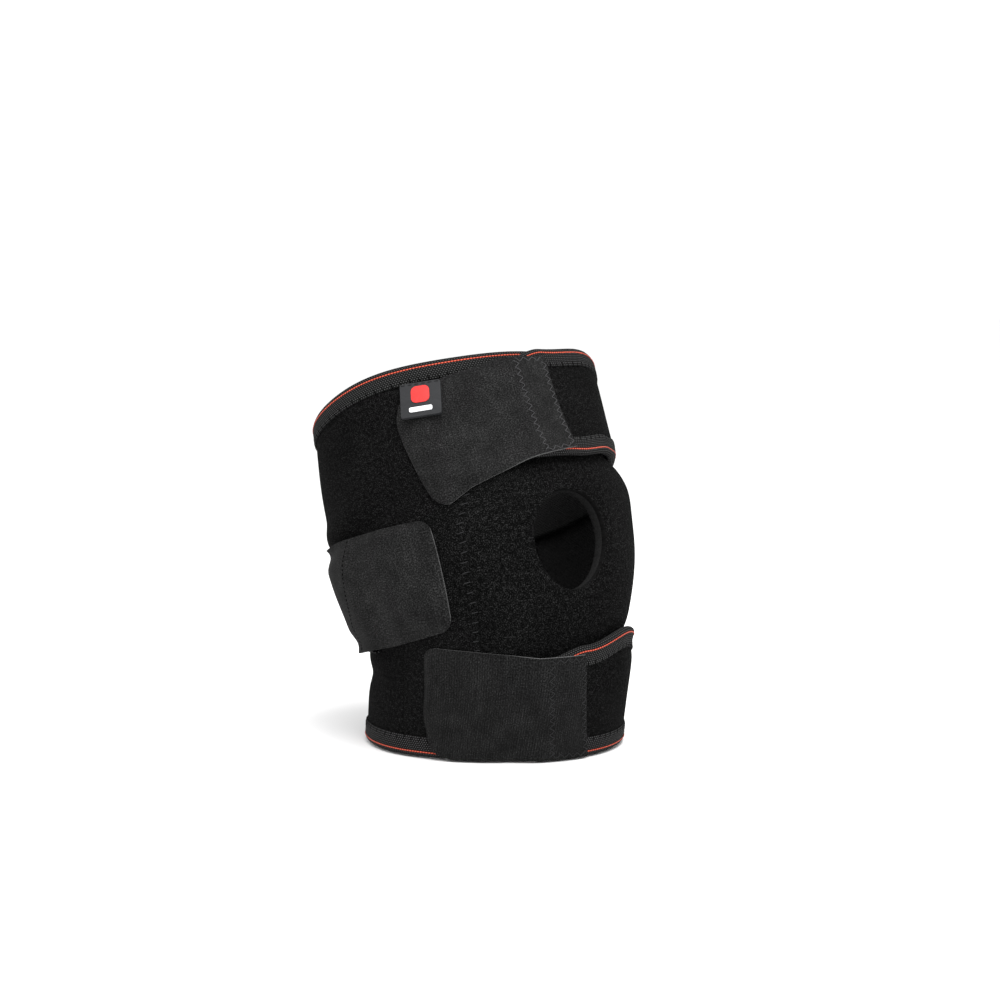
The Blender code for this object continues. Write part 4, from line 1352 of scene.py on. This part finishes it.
def label():
    """A soft rubber tag with a raised dot and bar, stitched under the rim's binding."""
    top = LABEL_THICKNESS
    raised = (top - 0.2, top + 0.35)
    slab("label_tag", "moulding", rounded_outline(LABEL_WIDTH, LABEL_DROP, 1.3), LABEL_DROP / 2,
         0.0, top, RUBBER, 0.4)
    slab("label_dot", "print", rounded_outline(BADGE_SIZE, BADGE_SIZE, 2.6), 0.37 * LABEL_DROP,
         *raised, RED, 0.15, dome=0.25)
    slab("label_bar", "print", rounded_outline(BAR_LENGTH, BAR_HEIGHT, 0.8), 0.8 * LABEL_DROP,
         *raised, PALE, 0.15)
    reach = LABEL_WIDTH / 2 - 1.7
    axes = label_frame()
    middles = np.linspace(-reach, reach, 6)
    starts, ends = ([axes @ (Vector((x + half, top - 0.05, -0.9)) * MM) for x in middles]
                    for half in (-0.9, 0.9))
    normals = [axes.to_3x3() @ Vector((0.0, 1.0, 0.0))] * len(middles)
    claim(stitch_mesh("label_stitches", starts, ends, normals, 0.16, THREAD, 0.12),
          ["label_body"])


# ---------------- stage

def studio():
    """A pale floor, a pale world and three soft lamps."""
    bpy.ops.mesh.primitive_plane_add(size=FLOOR_SIZE, location=(0.0, 0.0, cad_box[0].z - 0.0005))
    floor = bpy.context.object
    floor.name = "floor"
    white = bpy.data.materials.new("floor white")
    white.use_nodes = True
    shader = white.node_tree.nodes["Principled BSDF"]
    shader.inputs["Base Color"].default_value = (0.9, 0.9, 0.9, 1.0)
    shader.inputs["Roughness"].default_value = 0.9
    floor.data.materials.append(white)
    world = bpy.data.worlds.new("studio")
    bpy.context.scene.world = world
    world.use_nodes = True
    sky = world.node_tree.nodes["Background"]
    sky.inputs["Color"].default_value = (1.0, 1.0, 1.0, 1.0)
    sky.inputs["Strength"].default_value = SKY_STRENGTH
    lamp("key", (-0.45, -0.95, 1.25), 0.8, 13.0)
    lamp("fill", (-0.9, -0.9, 0.5), 1.2, 2.0)
    lamp("top", (0.1, -0.35, 1.3), 0.8, 11.0)


def lamp(name, place, size, power):
    """A round soft lamp that points at the middle of the brace."""
    data = bpy.data.lights.new(name, "AREA")
    data.shape = "DISK"
    data.size = size
    data.energy = power
    obj = bpy.data.objects.new(name, data)
    bpy.context.scene.collection.objects.link(obj)
    obj.location = place
    aim = Vector((0.0, 0.0, 0.09)) - Vector(place)
    obj.rotation_euler = aim.to_track_quat("-Z", "Y").to_euler()


def camera():
    """The photo's view of the brace."""
    azimuth, elevation = math.radians(CAMERA_AZIMUTH), math.radians(CAMERA_ELEVATION)
    level = math.cos(elevation)
    back = Vector((math.sin(azimuth) * level, -math.cos(azimuth) * level, math.sin(elevation)))
    data = bpy.data.cameras.new("camera")
    data.lens = CAMERA_LENS
    data.sensor_width = 36.0
    obj = bpy.data.objects.new("camera", data)
    bpy.context.scene.collection.objects.link(obj)
    obj.location = Vector(CAMERA_TARGET) * MM + back * CAMERA_DISTANCE
    obj.rotation_euler = (-back).to_track_quat("-Z", "Y").to_euler()
    bpy.context.scene.camera = obj
    bpy.context.scene.view_settings.view_transform = "Standard"


camera()
front_panel()
left_wing()
right_wing()
kneecap_ring()
rim = steps(LEFT_WING_END, RIGHT_WING_CUT, degrees_for(TAPE_STEP))
binding("upper_rim_binding", rim, flat(UPPER_EDGE), -1, flat(INNER_LAYER), ["root"])
binding("lower_rim_binding", rim, flat(LOWER_EDGE), 1, flat(INNER_LAYER), ["root"])
seam_stitches()
straps()
tabs()
for stay_side in (-1, 1):
    side_stay(stay_side)
root_seams()
join_tape("upper", 103.0, 121.0)
join_tape("lower", 34.0, 49.0)
label()
studio()
